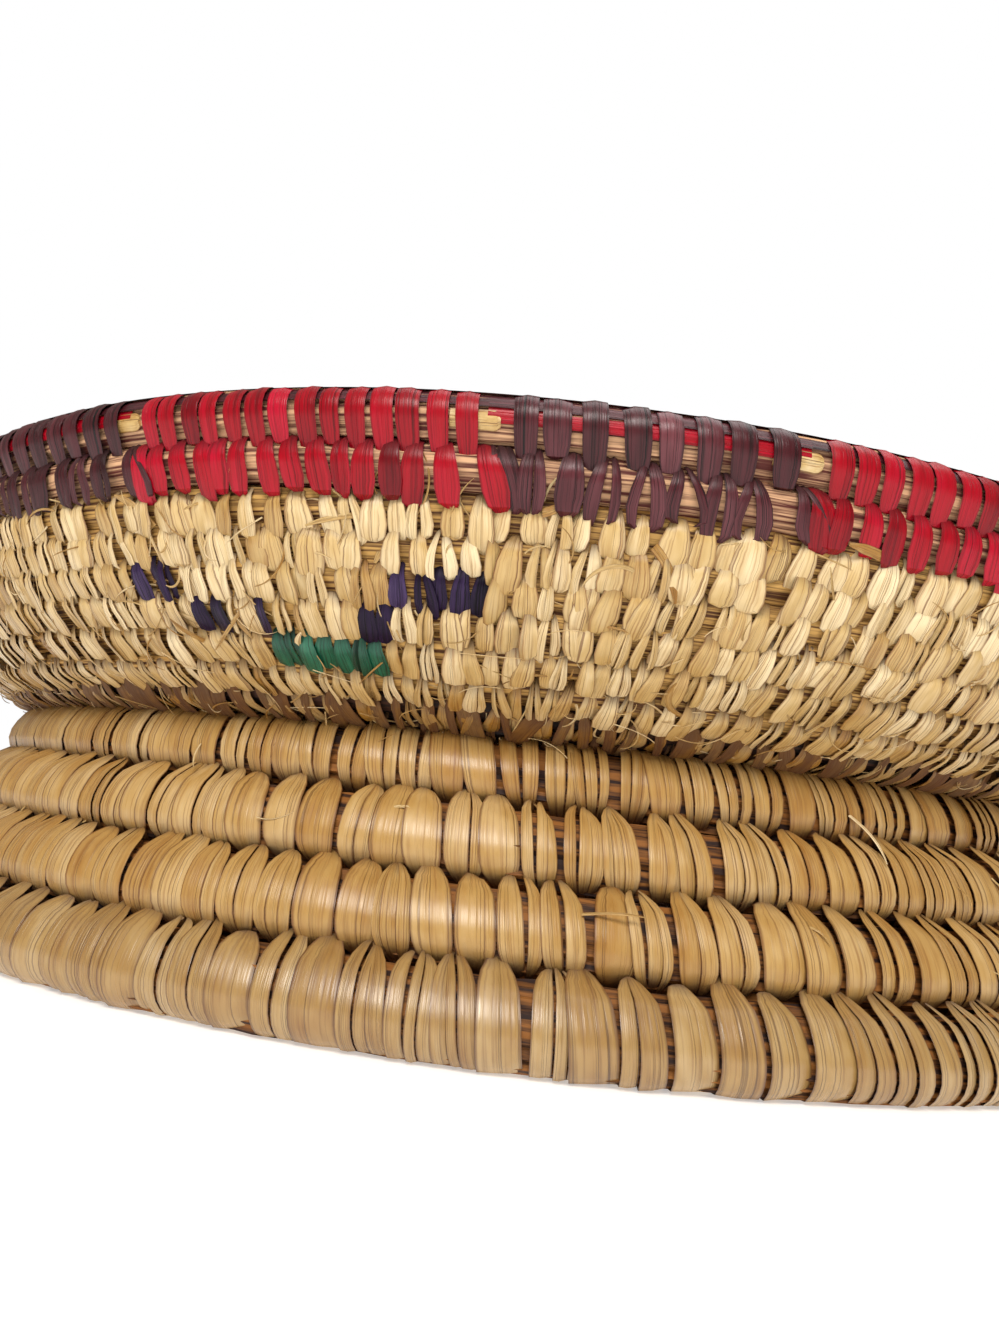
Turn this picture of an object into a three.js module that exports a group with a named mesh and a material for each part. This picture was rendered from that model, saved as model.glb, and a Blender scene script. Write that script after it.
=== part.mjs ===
// A coiled basket bowl that stands on a coiled foot ring.
// Millimetres, +Z up. The origin is on the ground, under the middle of the bowl.
import * as THREE from 'three';

// Strips of palm leaf, which sew the loops together
const LEAF = 0.35; // thickness of a strip
const CLEARANCE = 0.25; // room left on each side of a strip, and between pieces that rest on each other
const LASHING_WIDTH = 4.3;

// The foot: a thick coil that flares out towards the ground
const FOOT_COIL = 11.2; // diameter
const FOOT_LOOPS = 4;
const FOOT_INSET = 0.3; // how far its lowest loop stays inside the wall's top loop, at their outer sides
const FOOT_FLAT = 0.5; // depth of the flat that the lowest loop stands on

// The bowl: a fine coil that starts at the middle of the floor and climbs the wall
const BOWL_COIL = 4.35; // diameter
const FLOOR_LOOPS = 23;
const WALL_LOOPS = 8;
const WALL_REACH = 29.1; // how far an upright wall stands out beyond the floor
const WALL_RISE = 40.5; // how high above the floor the wall is upright

// The rim: the last loops, with a thicker coil that is wrapped in dyed strips
const RIM_COIL = 4.9; // diameter
const RIM_LOOPS = 2;
const WRAP_REPEATS = 9; // pairs of a plum and a red wrap
const RED_SPAN = 23 * (Math.PI / 180); // angle that a red wrap covers
const WRAP_GAP = 0.4; // between neighbouring wraps

// How the loops wind
const SEAM = 65.5 * (Math.PI / 180); // angle from +X where every loop starts, at the back
const CLIMB = 60 * (Math.PI / 180); // angle over which a loop climbs onto the one below
const TAPER = 1.5; // power by which a coil's end thins where another loop climbs over it

// Where a strip wound round two rows leaves the lower one, as a share of its size above its middle
const LEAVES_FREELY = 0.5; // drawn straight up to the upper row
const LEAVES_HUGGING = 1.1; // pressed against the lower row's top

// How finely the coils are drawn
const STEPS = 24; // in a loop
const CENTRE_STEPS = 12; // in a loop near the middle of the floor
const CENTRE_LOOPS = 10; // drawn with those steps
const FOOT_SIDES = 8;
const FLOOR_SIDES = 5;
const WALL_SIDES = 6;
const KNOT_SIDES = 12;
const KNOT_RINGS = 6;
const SAME_TURN = 0.001; // steps closer than this are one

// Spacings that follow from the sizes above: one strip passes between neighbouring loops
const SEWN_GAP = LEAF + 2 * CLEARANCE;
const FOOT_SPACING = FOOT_COIL + SEWN_GAP;
const BOWL_SPACING = BOWL_COIL + SEWN_GAP;
const RIM_SPACING = RIM_COIL + SEWN_GAP;
const FULL_TURN = 2 * Math.PI;
const WALL_TOP = FLOOR_LOOPS + WALL_LOOPS; // turns up to the rim
const RIM_TOP = WALL_TOP + RIM_LOOPS; // turns up to the end of the rim

const flatRadius = (diameter, sides) => (diameter / 2) * Math.cos(Math.PI / sides);
const angleAt = (turn) => SEAM + FULL_TURN * turn;

// Share of its climb that a loop has made: it rises smoothly from the seam, then lies level
function climbed(turn) {
  const share = ((turn - Math.floor(turn)) * FULL_TURN) / CLIMB;
  return THREE.MathUtils.smoothstep(share, 0, 1);
}

// The bowl's profile is flat, then turns up along a quarter of an ellipse.
// Heights are counted from the middle of the floor's coil.
const floorRadius = FLOOR_LOOPS * BOWL_SPACING;
const wallCurve = new THREE.EllipseCurve(
  floorRadius, WALL_RISE, WALL_REACH, WALL_RISE, -Math.PI / 2, Math.PI / 4);

function bowlProfile(level) {
  if (level <= FLOOR_LOOPS) {
    return { radius: level * BOWL_SPACING, rise: 0 };
  }
  const wallLoops = Math.min(level - FLOOR_LOOPS, WALL_LOOPS);
  const rimLoops = Math.max(level - WALL_TOP, 0);
  const along = wallLoops * BOWL_SPACING + rimLoops * RIM_SPACING;
  const point = wallCurve.getPointAt(along / wallCurve.getLength());
  return { radius: point.x, rise: point.y };
}

// The foot's top loop lies under the first loop of the wall, which rests on it.
// From there the foot spreads until it is as wide as the wall's top loop.
const firstWallLoop = bowlProfile(FLOOR_LOOPS + 1);
const topWallLoop = bowlProfile(WALL_TOP);
const footReach = topWallLoop.radius + BOWL_COIL / 2 - FOOT_INSET - FOOT_COIL / 2;
const footFlare = (footReach - firstWallLoop.radius) / (FOOT_LOOPS - 1);
const footRise = Math.sqrt(FOOT_SPACING ** 2 - footFlare ** 2);
const footLift = FOOT_COIL / 2 - FOOT_FLAT;
const footTop = footLift + (FOOT_LOOPS - 1) * footRise + flatRadius(FOOT_COIL, FOOT_SIDES);
const floorHeight = footTop + CLEARANCE + BOWL_COIL / 2 - firstWallLoop.rise;

// A row is one place on a coil: its middle's radius and height, and half its thickness.
// Each function gives the row at a number of turns from the coil's start.
function footRow(turn) {
  const level = THREE.MathUtils.clamp(Math.floor(turn) - 1 + climbed(turn), 0, FOOT_LOOPS - 1);
  const radius = firstWallLoop.radius + (FOOT_LOOPS - 1 - level) * footFlare;
  if (turn < 1) {
    const opening = climbed(turn) ** TAPER;
    return { radius, height: footLift * opening, size: (FOOT_COIL / 2) * opening };
  }
  const closing = turn > FOOT_LOOPS ? (1 - climbed(turn)) ** TAPER : 1;
  const raised = flatRadius(FOOT_COIL, FOOT_SIDES) * (1 - closing);
  return { radius, height: footLift + level * footRise + raised, size: (FOOT_COIL / 2) * closing };
}

// The floor starts as an even spiral, and its loops lie ever more level towards the wall
function bowlRow(turn) {
  const levelled = Math.floor(turn) + climbed(turn);
  const share = Math.min(turn / FLOOR_LOOPS, 1);
  const level = Math.min(THREE.MathUtils.lerp(turn, levelled, share), RIM_TOP);
  const { radius, rise } = bowlProfile(level);
  const thickening = THREE.MathUtils.clamp(level - WALL_TOP, 0, 1);
  const full = THREE.MathUtils.lerp(BOWL_COIL, RIM_COIL, thickening) / 2;
  const closing = turn > RIM_TOP ? (1 - climbed(turn)) ** TAPER : 1;
  return { radius, height: floorHeight + rise + full * (1 - closing), size: full * closing };
}

// Corners of a row's section, flat side down, grown outwards all round
function sectionOf(row, sides, grow = 0) {
  const reach = row.size + grow / Math.cos(Math.PI / sides);
  const corners = [];
  for (let corner = 0; corner < sides; corner += 1) {
    const direction = -Math.PI / 2 + (Math.PI * (1 + 2 * corner)) / sides;
    corners.push({
      radius: row.radius + reach * Math.cos(direction),
      height: Math.max(row.height + reach * Math.sin(direction), 0),
    });
  }
  return corners;
}

// Turns at which a coil is drawn, from first to last, with its ends
function turnsBetween(first, last, steps) {
  const turns = [first];
  const firstStep = Math.floor(first * steps + SAME_TURN) + 1;
  for (let step = firstStep; step < last * steps - SAME_TURN; step += 1) {
    turns.push(step / steps);
  }
  turns.push(last);
  return turns;
}

// A row between two drawn turns lies on the straight stretch that joins them
function rowOnStretch(rowAt, turn) {
  const before = Math.floor(turn * STEPS) / STEPS;
  const from = rowAt(before);
  const to = rowAt(before + 1 / STEPS);
  const angle = angleAt(turn) - angleAt(before);
  const share = Math.sin(angle) / (Math.sin(angle) + Math.sin(FULL_TURN / STEPS - angle));
  const straight = Math.cos(FULL_TURN / STEPS / 2) / Math.cos(angle - FULL_TURN / STEPS / 2);
  return {
    radius: THREE.MathUtils.lerp(from.radius, to.radius, share) * straight,
    height: THREE.MathUtils.lerp(from.height, to.height, share),
    size: THREE.MathUtils.lerp(from.size, to.size, share),
  };
}

function ringAt(turn, corners) {
  const angle = angleAt(turn);
  return corners.map(({ radius, height }) => (
    new THREE.Vector3(radius * Math.cos(angle), radius * Math.sin(angle), height)));
}

// A closed body through rings of points; with inner rings it is a sleeve, open at both ends
function bodyThrough(outer, inner = null) {
  const points = [];
  const faces = [];
  const addRing = (ring) => points.push(...ring) - ring.length;
  const addSide = (rings, inwards) => {
    const starts = rings.map(addRing);
    const count = rings[0].length;
    for (let ring = 0; ring + 1 < rings.length; ring += 1) {
      for (let corner = 0; corner < count; corner += 1) {
        const next = (corner + 1) % count;
        const [a, b] = [starts[ring] + corner, starts[ring] + next];
        const [c, d] = [starts[ring + 1] + corner, starts[ring + 1] + next];
        faces.push(...(inwards ? [a, b, c, b, d, c] : [a, c, b, b, c, d]));
      }
    }
    return starts;
  };
  const outerStarts = addSide(outer, false);
  const count = outer[0].length;
  const [first, last] = [outerStarts[0], outerStarts.at(-1)];
  if (inner) {
    const innerStarts = addSide(inner, true);
    const [innerFirst, innerLast] = [innerStarts[0], innerStarts.at(-1)];
    for (let corner = 0; corner < count; corner += 1) {
      const next = (corner + 1) % count;
      faces.push(first + corner, first + next, innerFirst + corner);
      faces.push(first + next, innerFirst + next, innerFirst + corner);
      faces.push(last + corner, innerLast + corner, last + next);
      faces.push(last + next, innerLast + corner, innerLast + next);
    }
  } else {
    for (let corner = 1; corner + 1 < count; corner += 1) {
      faces.push(first, first + corner, first + corner + 1);
      faces.push(last, last + corner + 1, last + corner);
    }
  }
  const geometry = new THREE.BufferGeometry().setFromPoints(points);
  geometry.setIndex(faces);
  geometry.computeVertexNormals();
  return geometry;
}

function coilThrough(rowAt, turns, sides) {
  return bodyThrough(turns.map((turn) => ringAt(turn, sectionOf(rowAt(turn), sides))));
}

// Least gap between different loops of one coil, on points along its middle
function printLeastGap(name, rowAt, turns) {
  const points = turns.map((turn) => {
    const row = rowAt(turn);
    return { turn, size: row.size, place: ringAt(turn, [row])[0] };
  });
  let least = Infinity;
  for (const one of points) {
    for (const other of points) {
      if (other.turn - one.turn > 0.5) {
        least = Math.min(least, one.place.distanceTo(other.place) - one.size - other.size);
      }
    }
  }
  console.log(`${name}: least gap between its loops ${least.toFixed(2)} mm`);
}

const straw = new THREE.MeshStandardMaterial({ color: 0xc0a06e, roughness: 0.7, metalness: 0 });
const footStraw = new THREE.MeshStandardMaterial({ color: 0xb38f5d, roughness: 0.55, metalness: 0 });
const redLeaf = new THREE.MeshStandardMaterial({ color: 0xa32029, roughness: 0.5, metalness: 0 });
const plumLeaf = new THREE.MeshStandardMaterial({ color: 0x6e4648, roughness: 0.5, metalness: 0 });
const lashingLeaf = new THREE.MeshStandardMaterial({ color: 0xcaae7c, roughness: 0.6, metalness: 0 });

function pieceOf(name, geometry, material) {
  const piece = new THREE.Mesh(geometry, material);
  piece.name = name;
  return piece;
}

// The foot's coil: its two ends taper half way along a climb, so the foot is level below and above
function makeFoot() {
  const taperLength = CLIMB / 2 / FULL_TURN;
  const turns = turnsBetween(taperLength, FOOT_LOOPS + taperLength, STEPS);
  printLeastGap('foot_coil', footRow, turns);
  return pieceOf('foot_coil', coilThrough(footRow, turns, FOOT_SIDES), footStraw);
}

// The knot that the bowl's coil starts from, in the middle of its first loop
function makeStartKnot() {
  const radius = bowlRow(1).radius - BOWL_COIL / 2 - 2 * CLEARANCE;
  const halfHeight = BOWL_COIL / 2 - LEAF;
  const roundness = new THREE.EllipseCurve(0, 0, radius, halfHeight, -Math.PI / 2, Math.PI / 2);
  const knot = new THREE.LatheGeometry(roundness.getPoints(KNOT_RINGS), KNOT_SIDES);
  knot.rotateX(Math.PI / 2);
  const piece = pieceOf('start_knot', knot, straw);
  piece.position.z = floorHeight;
  return piece;
}

// The bowl's coil is spliced where the floor meets the wall and where the wall meets the rim
function makeBowl() {
  const bowl = new THREE.Group();
  const splice = CLEARANCE / (FULL_TURN * floorRadius);
  const centreTurns = turnsBetween(1, CENTRE_LOOPS, CENTRE_STEPS);
  const outerTurns = turnsBetween(CENTRE_LOOPS, FLOOR_LOOPS, STEPS).slice(1);
  const floorTurns = [...centreTurns, ...outerTurns];
  const wallTurns = turnsBetween(FLOOR_LOOPS + splice, WALL_TOP, STEPS);
  const rimTurns = turnsBetween(WALL_TOP + splice, RIM_TOP + CLIMB / 2 / FULL_TURN, STEPS);
  printLeastGap('bowl_floor_coil', bowlRow, floorTurns);
  printLeastGap('bowl_wall_coil', bowlRow, wallTurns);
  printLeastGap('rim_coil', bowlRow, rimTurns);
  bowl.add(makeStartKnot());
  bowl.add(pieceOf('bowl_floor_coil', coilThrough(bowlRow, floorTurns, FLOOR_SIDES), straw));
  bowl.add(pieceOf('bowl_wall_coil', coilThrough(bowlRow, wallTurns, WALL_SIDES), straw));
  bowl.add(pieceOf('rim_coil', coilThrough(bowlRow, rimTurns, WALL_SIDES), straw));
  return bowl;
}

// Outline of a strip wound round two rows, the upper one over the lower one
function outlineRound(lower, lowerSides, upper, upperSides, grow, leavesInside) {
  const corners = sectionOf(lower, lowerSides, grow);
  const isUnder = (corner, share) => corner.height < lower.height + lower.size * share;
  const isOutside = (corner) => corner.radius > lower.radius;
  const outside = corners.filter((corner) => isOutside(corner) && isUnder(corner, LEAVES_FREELY));
  const inside = corners.filter((corner) => !isOutside(corner) && isUnder(corner, leavesInside));
  const isOver = (corner) => corner.height > upper.height - CLEARANCE;
  const over = sectionOf(upper, upperSides, grow).filter(isOver);
  inside.sort((one, other) => other.height - one.height);
  outside.sort((one, other) => one.height - other.height);
  return [...inside, ...outside, ...over];
}

// One dyed wrap round the rim's two loops, from one turn of the lower loop to another
function makeWrap(name, from, to, material) {
  const turns = turnsBetween(from, to, STEPS);
  const ringsAt = (grow) => turns.map((turn) => {
    const lower = rowOnStretch(bowlRow, turn);
    const upper = rowOnStretch(bowlRow, turn + RIM_LOOPS - 1);
    return ringAt(turn, outlineRound(lower, WALL_SIDES, upper, WALL_SIDES, grow, LEAVES_FREELY));
  });
  return pieceOf(name, bodyThrough(ringsAt(CLEARANCE + LEAF), ringsAt(CLEARANCE)), material);
}

function makeWraps() {
  const wraps = new THREE.Group();
  const repeat = 1 / WRAP_REPEATS;
  const redShare = RED_SPAN / FULL_TURN;
  const rimRadius = bowlRow(RIM_TOP).radius;
  const halfGap = WRAP_GAP / 2 / (FULL_TURN * rimRadius);
  for (let index = 0; index < WRAP_REPEATS; index += 1) {
    const start = WALL_TOP + index * repeat;
    const change = start + repeat - redShare;
    const end = start + repeat;
    wraps.add(makeWrap(`rim_wrap_plum_${index + 1}`, start + halfGap, change - halfGap, plumLeaf));
    wraps.add(makeWrap(`rim_wrap_red_${index + 1}`, change + halfGap, end - halfGap, redLeaf));
  }
  return wraps;
}

// A strip tied round the foot's top loop and the wall's first loop, half way along a straight stretch
function makeLashing(name, turn) {
  const foot = rowOnStretch(footRow, FOOT_LOOPS - 1 + turn);
  const wall = rowOnStretch(bowlRow, FLOOR_LOOPS + turn);
  const pathAt = (grow) => (
    outlineRound(foot, FOOT_SIDES, wall, WALL_SIDES, grow, LEAVES_HUGGING)
      .map(({ radius, height }) => new THREE.Vector2(radius, height)));
  const loop = new THREE.Shape(pathAt(CLEARANCE + LEAF));
  loop.holes.push(new THREE.Path(pathAt(CLEARANCE)));
  const strip = new THREE.ExtrudeGeometry(loop, { depth: LASHING_WIDTH, bevelEnabled: false });
  strip.translate(0, 0, -LASHING_WIDTH / 2);
  strip.rotateX(Math.PI / 2);
  const piece = pieceOf(name, strip, lashingLeaf);
  piece.rotation.z = angleAt(turn);
  return piece;
}

// One lashing on every straight stretch of the level loops, none over the climb
function makeLashings() {
  const lashings = new THREE.Group();
  const firstStretch = Math.ceil((CLIMB / FULL_TURN) * STEPS);
  for (let stretch = firstStretch; stretch < STEPS; stretch += 1) {
    const number = stretch - firstStretch + 1;
    lashings.add(makeLashing(`lashing_${number}`, (stretch + 0.5) / STEPS));
  }
  return lashings;
}

const basket = new THREE.Group();
basket.add(makeFoot(), makeBowl(), makeWraps(), makeLashings());

export default basket;
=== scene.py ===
# %% [markdown]
# # A coiled basket bowl
#
# Nothing in this basket is woven. Bundles of dry grass are wound into coils, and strips of palm leaf sew each
# loop to the loop before it. A fine coil makes the bowl, and a coil twice as thick makes the foot ring.
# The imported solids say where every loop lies. This lesson covers them with grass and with some thousands of
# leaf strips, each one bent round its own coil.

# %% Load the frame
import math

import bpy
import numpy as np
from mathutils import Matrix


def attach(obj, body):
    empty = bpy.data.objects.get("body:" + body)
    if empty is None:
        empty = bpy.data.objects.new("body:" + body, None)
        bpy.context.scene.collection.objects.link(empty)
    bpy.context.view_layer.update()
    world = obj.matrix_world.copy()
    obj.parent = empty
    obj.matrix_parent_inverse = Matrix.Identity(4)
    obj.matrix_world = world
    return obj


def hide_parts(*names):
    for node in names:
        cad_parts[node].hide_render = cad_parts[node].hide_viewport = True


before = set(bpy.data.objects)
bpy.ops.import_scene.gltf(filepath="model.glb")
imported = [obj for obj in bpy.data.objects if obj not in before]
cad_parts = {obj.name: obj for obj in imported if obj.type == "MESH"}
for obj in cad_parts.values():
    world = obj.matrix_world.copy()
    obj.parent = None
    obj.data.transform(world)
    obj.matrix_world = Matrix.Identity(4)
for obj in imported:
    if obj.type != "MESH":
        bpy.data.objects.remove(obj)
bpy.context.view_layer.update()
print("solids in the frame:", len(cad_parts))

# %% [markdown]
# ## Camera
#
# The photograph was taken with a phone held very close, level with the foot and tipped a little to one side,
# so its perspective is strong. The camera is set first, because every later choice is judged through it. Its
# place and angles came from the curves of the rim and of the foot's four loops.

# %% Camera
MM = 0.001
PHOTO_HEIGHT = 1333  # pixels
FOCAL_LENGTH = 1000  # pixels
SENSOR_HEIGHT = 36.0  # millimetres
NEAREST = 10 * MM  # nothing nearer to the camera is drawn
CAMERA_PLACE = (0.0, -273 * MM, 32 * MM)
CAMERA_YAW = math.radians(-3.26)
CAMERA_PITCH = math.radians(7.9)
CAMERA_ROLL = math.radians(-6.24)


def turn_of_camera(yaw, pitch, roll):
    """Rotation of a camera along +Y, turned right by yaw, up by pitch and about its view by roll."""
    return (
        Matrix.Rotation(-yaw, 4, "Z")
        @ Matrix.Rotation(math.pi / 2 + pitch, 4, "X")
        @ Matrix.Rotation(-roll, 4, "Z")
    )


bpy.ops.object.camera_add()
camera = bpy.context.object
camera.name = "photo_camera"
camera.matrix_world = Matrix.Translation(CAMERA_PLACE) @ turn_of_camera(CAMERA_YAW, CAMERA_PITCH, CAMERA_ROLL)
camera.data.sensor_fit = "VERTICAL"
camera.data.sensor_height = SENSOR_HEIGHT
camera.data.lens = SENSOR_HEIGHT * FOCAL_LENGTH / PHOTO_HEIGHT
camera.data.clip_start = NEAREST
bpy.context.scene.camera = camera
print("lens:", round(camera.data.lens, 2), "mm on a 36 mm high frame")

# %% [markdown]
# ## Where the coils run
#
# Both coils are wound by turns, counted from their start. A row is the coil at one turn: how far its middle
# is from the axis, how high it is, and half its thickness. Each loop lies level, then climbs onto the next
# one at the back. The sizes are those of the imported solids, in metres, apart from the spacings of the wall's
# loops, the rim's thickness and the taper of the coils' ends. A hand never winds quite evenly, so every row
# also wanders by a fraction of a millimetre, and the rim rises and sinks a little more.

# %% Sizes of the coils
CLEARANCE = 0.25 * MM
LEAF = 0.35 * MM  # thickness of a strip
FOOT_COIL = 11.2 * MM
FOOT_LOOPS = 4
FOOT_INSET = 0.3 * MM
FOOT_FLAT = 0.5 * MM
FOOT_SIDES = 8  # of the solid's section, whose flat top carries the bowl
BOWL_COIL = 4.35 * MM
FLOOR_LOOPS = 23
WALL_LOOPS = 8
WALL_REACH = 29.1 * MM
WALL_RISE = 40.5 * MM
RIM_LOOPS = 2
# How far each loop lies from the last one, from the floor's edge upwards
LOOP_SPACINGS = np.array([5.2, 5.2, 5.2, 5.6, 5.2, 4.6, 4.3, 4.5, 5.7, 6.3]) * MM
RIM_COILS = np.array([5.5, 6.3]) * MM  # thickness of the two rim loops
WRAP_REPEATS = 9
RED_SPAN = math.radians(23)
SEAM = math.radians(65.5)
CLIMB = math.radians(60)
TAPER = 1.15  # fuller than the solids' taper, so that no light shows through beside a coil's end

FULL_TURN = 2 * math.pi
SEWN_GAP = LEAF + 2 * CLEARANCE
FOOT_SPACING = FOOT_COIL + SEWN_GAP
BOWL_SPACING = BOWL_COIL + SEWN_GAP
WALL_TOP = FLOOR_LOOPS + WALL_LOOPS
RIM_TOP = WALL_TOP + RIM_LOOPS
FOOT_FLAT_RADIUS = FOOT_COIL / 2 * math.cos(math.pi / FOOT_SIDES)

loop_levels = FLOOR_LOOPS + np.arange(len(LOOP_SPACINGS) + 1)
loop_places = np.concatenate([[0], np.cumsum(LOOP_SPACINGS)])
loop_halves = np.concatenate([np.full(WALL_LOOPS + 1, BOWL_COIL), RIM_COILS]) / 2
CURVE_STEPS = 600
curve_angles = np.linspace(-math.pi / 2, math.pi / 4, CURVE_STEPS)
wall_curve = np.stack([
    FLOOR_LOOPS * BOWL_SPACING + WALL_REACH * np.cos(curve_angles),
    WALL_RISE + WALL_RISE * np.sin(curve_angles),
])
wall_lengths = np.concatenate([[0], np.cumsum(np.hypot(*np.diff(wall_curve)))])


def bowl_profile(level):
    """Radius and rise of the bowl's loops: flat on the floor, then along part of an ellipse."""
    along = np.interp(level, loop_levels, loop_places)
    wall_radius, rise = (np.interp(along, wall_lengths, axis) for axis in wall_curve)
    return np.where(level > FLOOR_LOOPS, wall_radius, level * BOWL_SPACING), rise


first_loop_radius, first_loop_rise = (float(x) for x in bowl_profile(np.array(FLOOR_LOOPS + 1.0)))
top_loop_radius = float(np.interp(WALL_LOOPS * BOWL_SPACING, wall_lengths, wall_curve[0]))  # of the solid
foot_reach = top_loop_radius + BOWL_COIL / 2 - FOOT_INSET - FOOT_COIL / 2
foot_flare = (foot_reach - first_loop_radius) / (FOOT_LOOPS - 1)
foot_rise = math.sqrt(FOOT_SPACING**2 - foot_flare**2)
foot_lift = FOOT_COIL / 2 - FOOT_FLAT
foot_top = foot_lift + (FOOT_LOOPS - 1) * foot_rise + FOOT_FLAT_RADIUS
floor_height = foot_top + CLEARANCE + BOWL_COIL / 2 - first_loop_rise
print("floor of the bowl at", round(floor_height / MM, 2), "mm")

# %% Rows of the coils
WANDER = 0.22 * MM
WANDER_WAVES = ((5, 0.9), (9, 2.1), (14, 4.0))  # waves in a turn, and how far each slips from loop to loop
RIM_WAVE = 1.3 * MM  # the rim rises and sinks three times round the bowl
RIM_WAVES = 3
RIM_WAVE_START = math.radians(-50)


def angle_at(turn):
    return SEAM + FULL_TURN * turn


def turn_facing(phi):
    """Share of a turn at an angle in degrees from the front, counted to the right."""
    return ((math.radians(phi) - math.pi / 2 - SEAM) / FULL_TURN) % 1


def climbed(turn):
    share = np.clip((turn - np.floor(turn)) * FULL_TURN / CLIMB, 0, 1)
    return share * share * (3 - 2 * share)


def wander(turn, shift):
    """How far a row strays. Rows with different shifts stray differently."""
    waves = [np.sin(count * FULL_TURN * turn + (slip + shift) * turn) for count, slip in WANDER_WAVES]
    return WANDER * sum(waves) / len(waves)


def rim_wave(turn):
    facing = angle_at(turn) + math.pi / 2
    return RIM_WAVE * np.sin(RIM_WAVES * (facing - RIM_WAVE_START))


def foot_row(turn):
    level = np.clip(np.floor(turn) - 1 + climbed(turn), 0, FOOT_LOOPS - 1)
    radius = first_loop_radius + (FOOT_LOOPS - 1 - level) * foot_flare + wander(turn, 1)
    opening = np.where(turn < 1, climbed(turn) ** TAPER, 1.0)
    closing = np.where(turn > FOOT_LOOPS, (1 - climbed(turn)) ** TAPER, 1.0)
    height = opening * foot_lift + level * foot_rise + FOOT_FLAT_RADIUS * (1 - closing)
    return radius, height, FOOT_COIL / 2 * opening * closing


def bowl_row(turn):
    levelled = np.floor(turn) + climbed(turn)
    share = np.clip(turn / FLOOR_LOOPS, 0, 1)
    level = np.minimum(turn + (levelled - turn) * share, RIM_TOP)
    radius, rise = bowl_profile(level)
    full = np.interp(level, loop_levels, loop_halves)
    closing = np.where(turn > RIM_TOP, (1 - climbed(turn)) ** TAPER, 1.0)
    up_the_wall = np.clip((level - FLOOR_LOOPS) / (RIM_TOP - FLOOR_LOOPS), 0, 1)
    straying = share**4  # next to nothing at the middle of the floor
    height = floor_height + rise + full * (1 - closing)
    height = height + straying * wander(turn, 0) + up_the_wall * rim_wave(turn)
    return radius + straying * wander(turn, 3), height, full * closing


for node, row_at, turn in (("foot_coil", foot_row, 0.5), ("rim_coil", bowl_row, RIM_TOP - 0.5)):
    radius, height, size = (float(x) for x in row_at(np.array(turn)))

# %% [markdown]
# ## A leaf strip
#
# A strip of palm leaf is thin, a little domed on top and sharp at its edges. It is modelled once: a
# four-sided disc is extruded step by step into a straight strip. A curve with a bevel could do the same, but
# a mesh keeps its few faces where the strip bends. The bending itself is arithmetic on copies of the strip's
# points, because no operator wraps thousands of strips round a coil.

# %% Model the strip
TAIL_SHARES = (0.42, 0.82, 1.0)  # where a strip's steps lie on each of its two tails
BOWL_ARC = 8  # steps of a strip round the bowl's coil
FOOT_ARC = 12  # the same round the thick coil
# A strip's unrolled map, in shares of a square: its sides fill most of it, and its two ends are small discs
MAP_ROUND = 1.25  # width of the map for each way round the strip
MAP_ROOM = 0.04  # above and below the sides
END_HEIGHT = 0.02  # of the discs' middles
END_REACH = (0.4, 0.015)  # of the discs from their middles


def close_and_turn_out():
    """Closes the open ends of the mesh in edit mode and points its faces outwards."""
    bpy.ops.mesh.select_all(action="SELECT")
    bpy.ops.mesh.fill_holes(sides=0)
    bpy.ops.mesh.select_all(action="SELECT")
    bpy.ops.mesh.normals_make_consistent(inside=False)
    bpy.ops.object.mode_set(mode="OBJECT")


def arrays_of(obj):
    """Points, face corners and first corner of each face of a mesh. The object is then removed."""
    mesh = obj.data
    points = np.empty(len(mesh.vertices) * 3, np.float32)
    mesh.vertices.foreach_get("co", points)
    corners = np.empty(len(mesh.loops), np.int32)
    mesh.loops.foreach_get("vertex_index", corners)
    starts = np.empty(len(mesh.polygons), np.int32)
    mesh.polygons.foreach_get("loop_start", starts)
    bpy.data.objects.remove(obj)
    return points.reshape(-1, 3).astype(float), corners, starts


def model_strip(steps):
    """A straight strip along Y, one unit wide, with one unit of length for each step."""
    bpy.ops.object.select_all(action="DESELECT")
    bpy.ops.mesh.primitive_circle_add(vertices=4, radius=0.5, fill_type="NGON", rotation=(math.pi / 2, 0, 0))
    strip = bpy.context.object
    bpy.ops.object.transform_apply(rotation=True)
    bpy.ops.object.mode_set(mode="EDIT")
    bpy.ops.mesh.select_all(action="SELECT")
    for step in range(steps):
        bpy.ops.mesh.extrude_region_move(TRANSFORM_OT_translate={"value": (0, 1, 0)})
    close_and_turn_out()
    return arrays_of(strip)


def round_map(around, corners, starts):
    """Shares of a turn at the face corners, kept together where a face lies across the start of the turn."""
    sizes = np.diff(np.append(starts, len(corners)))
    face = np.repeat(np.arange(len(starts)), sizes)
    share = around[corners]
    most = np.maximum.reduceat(share, starts)[face]
    return np.where(most - share > 0.5, share + 1, share), face


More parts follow.
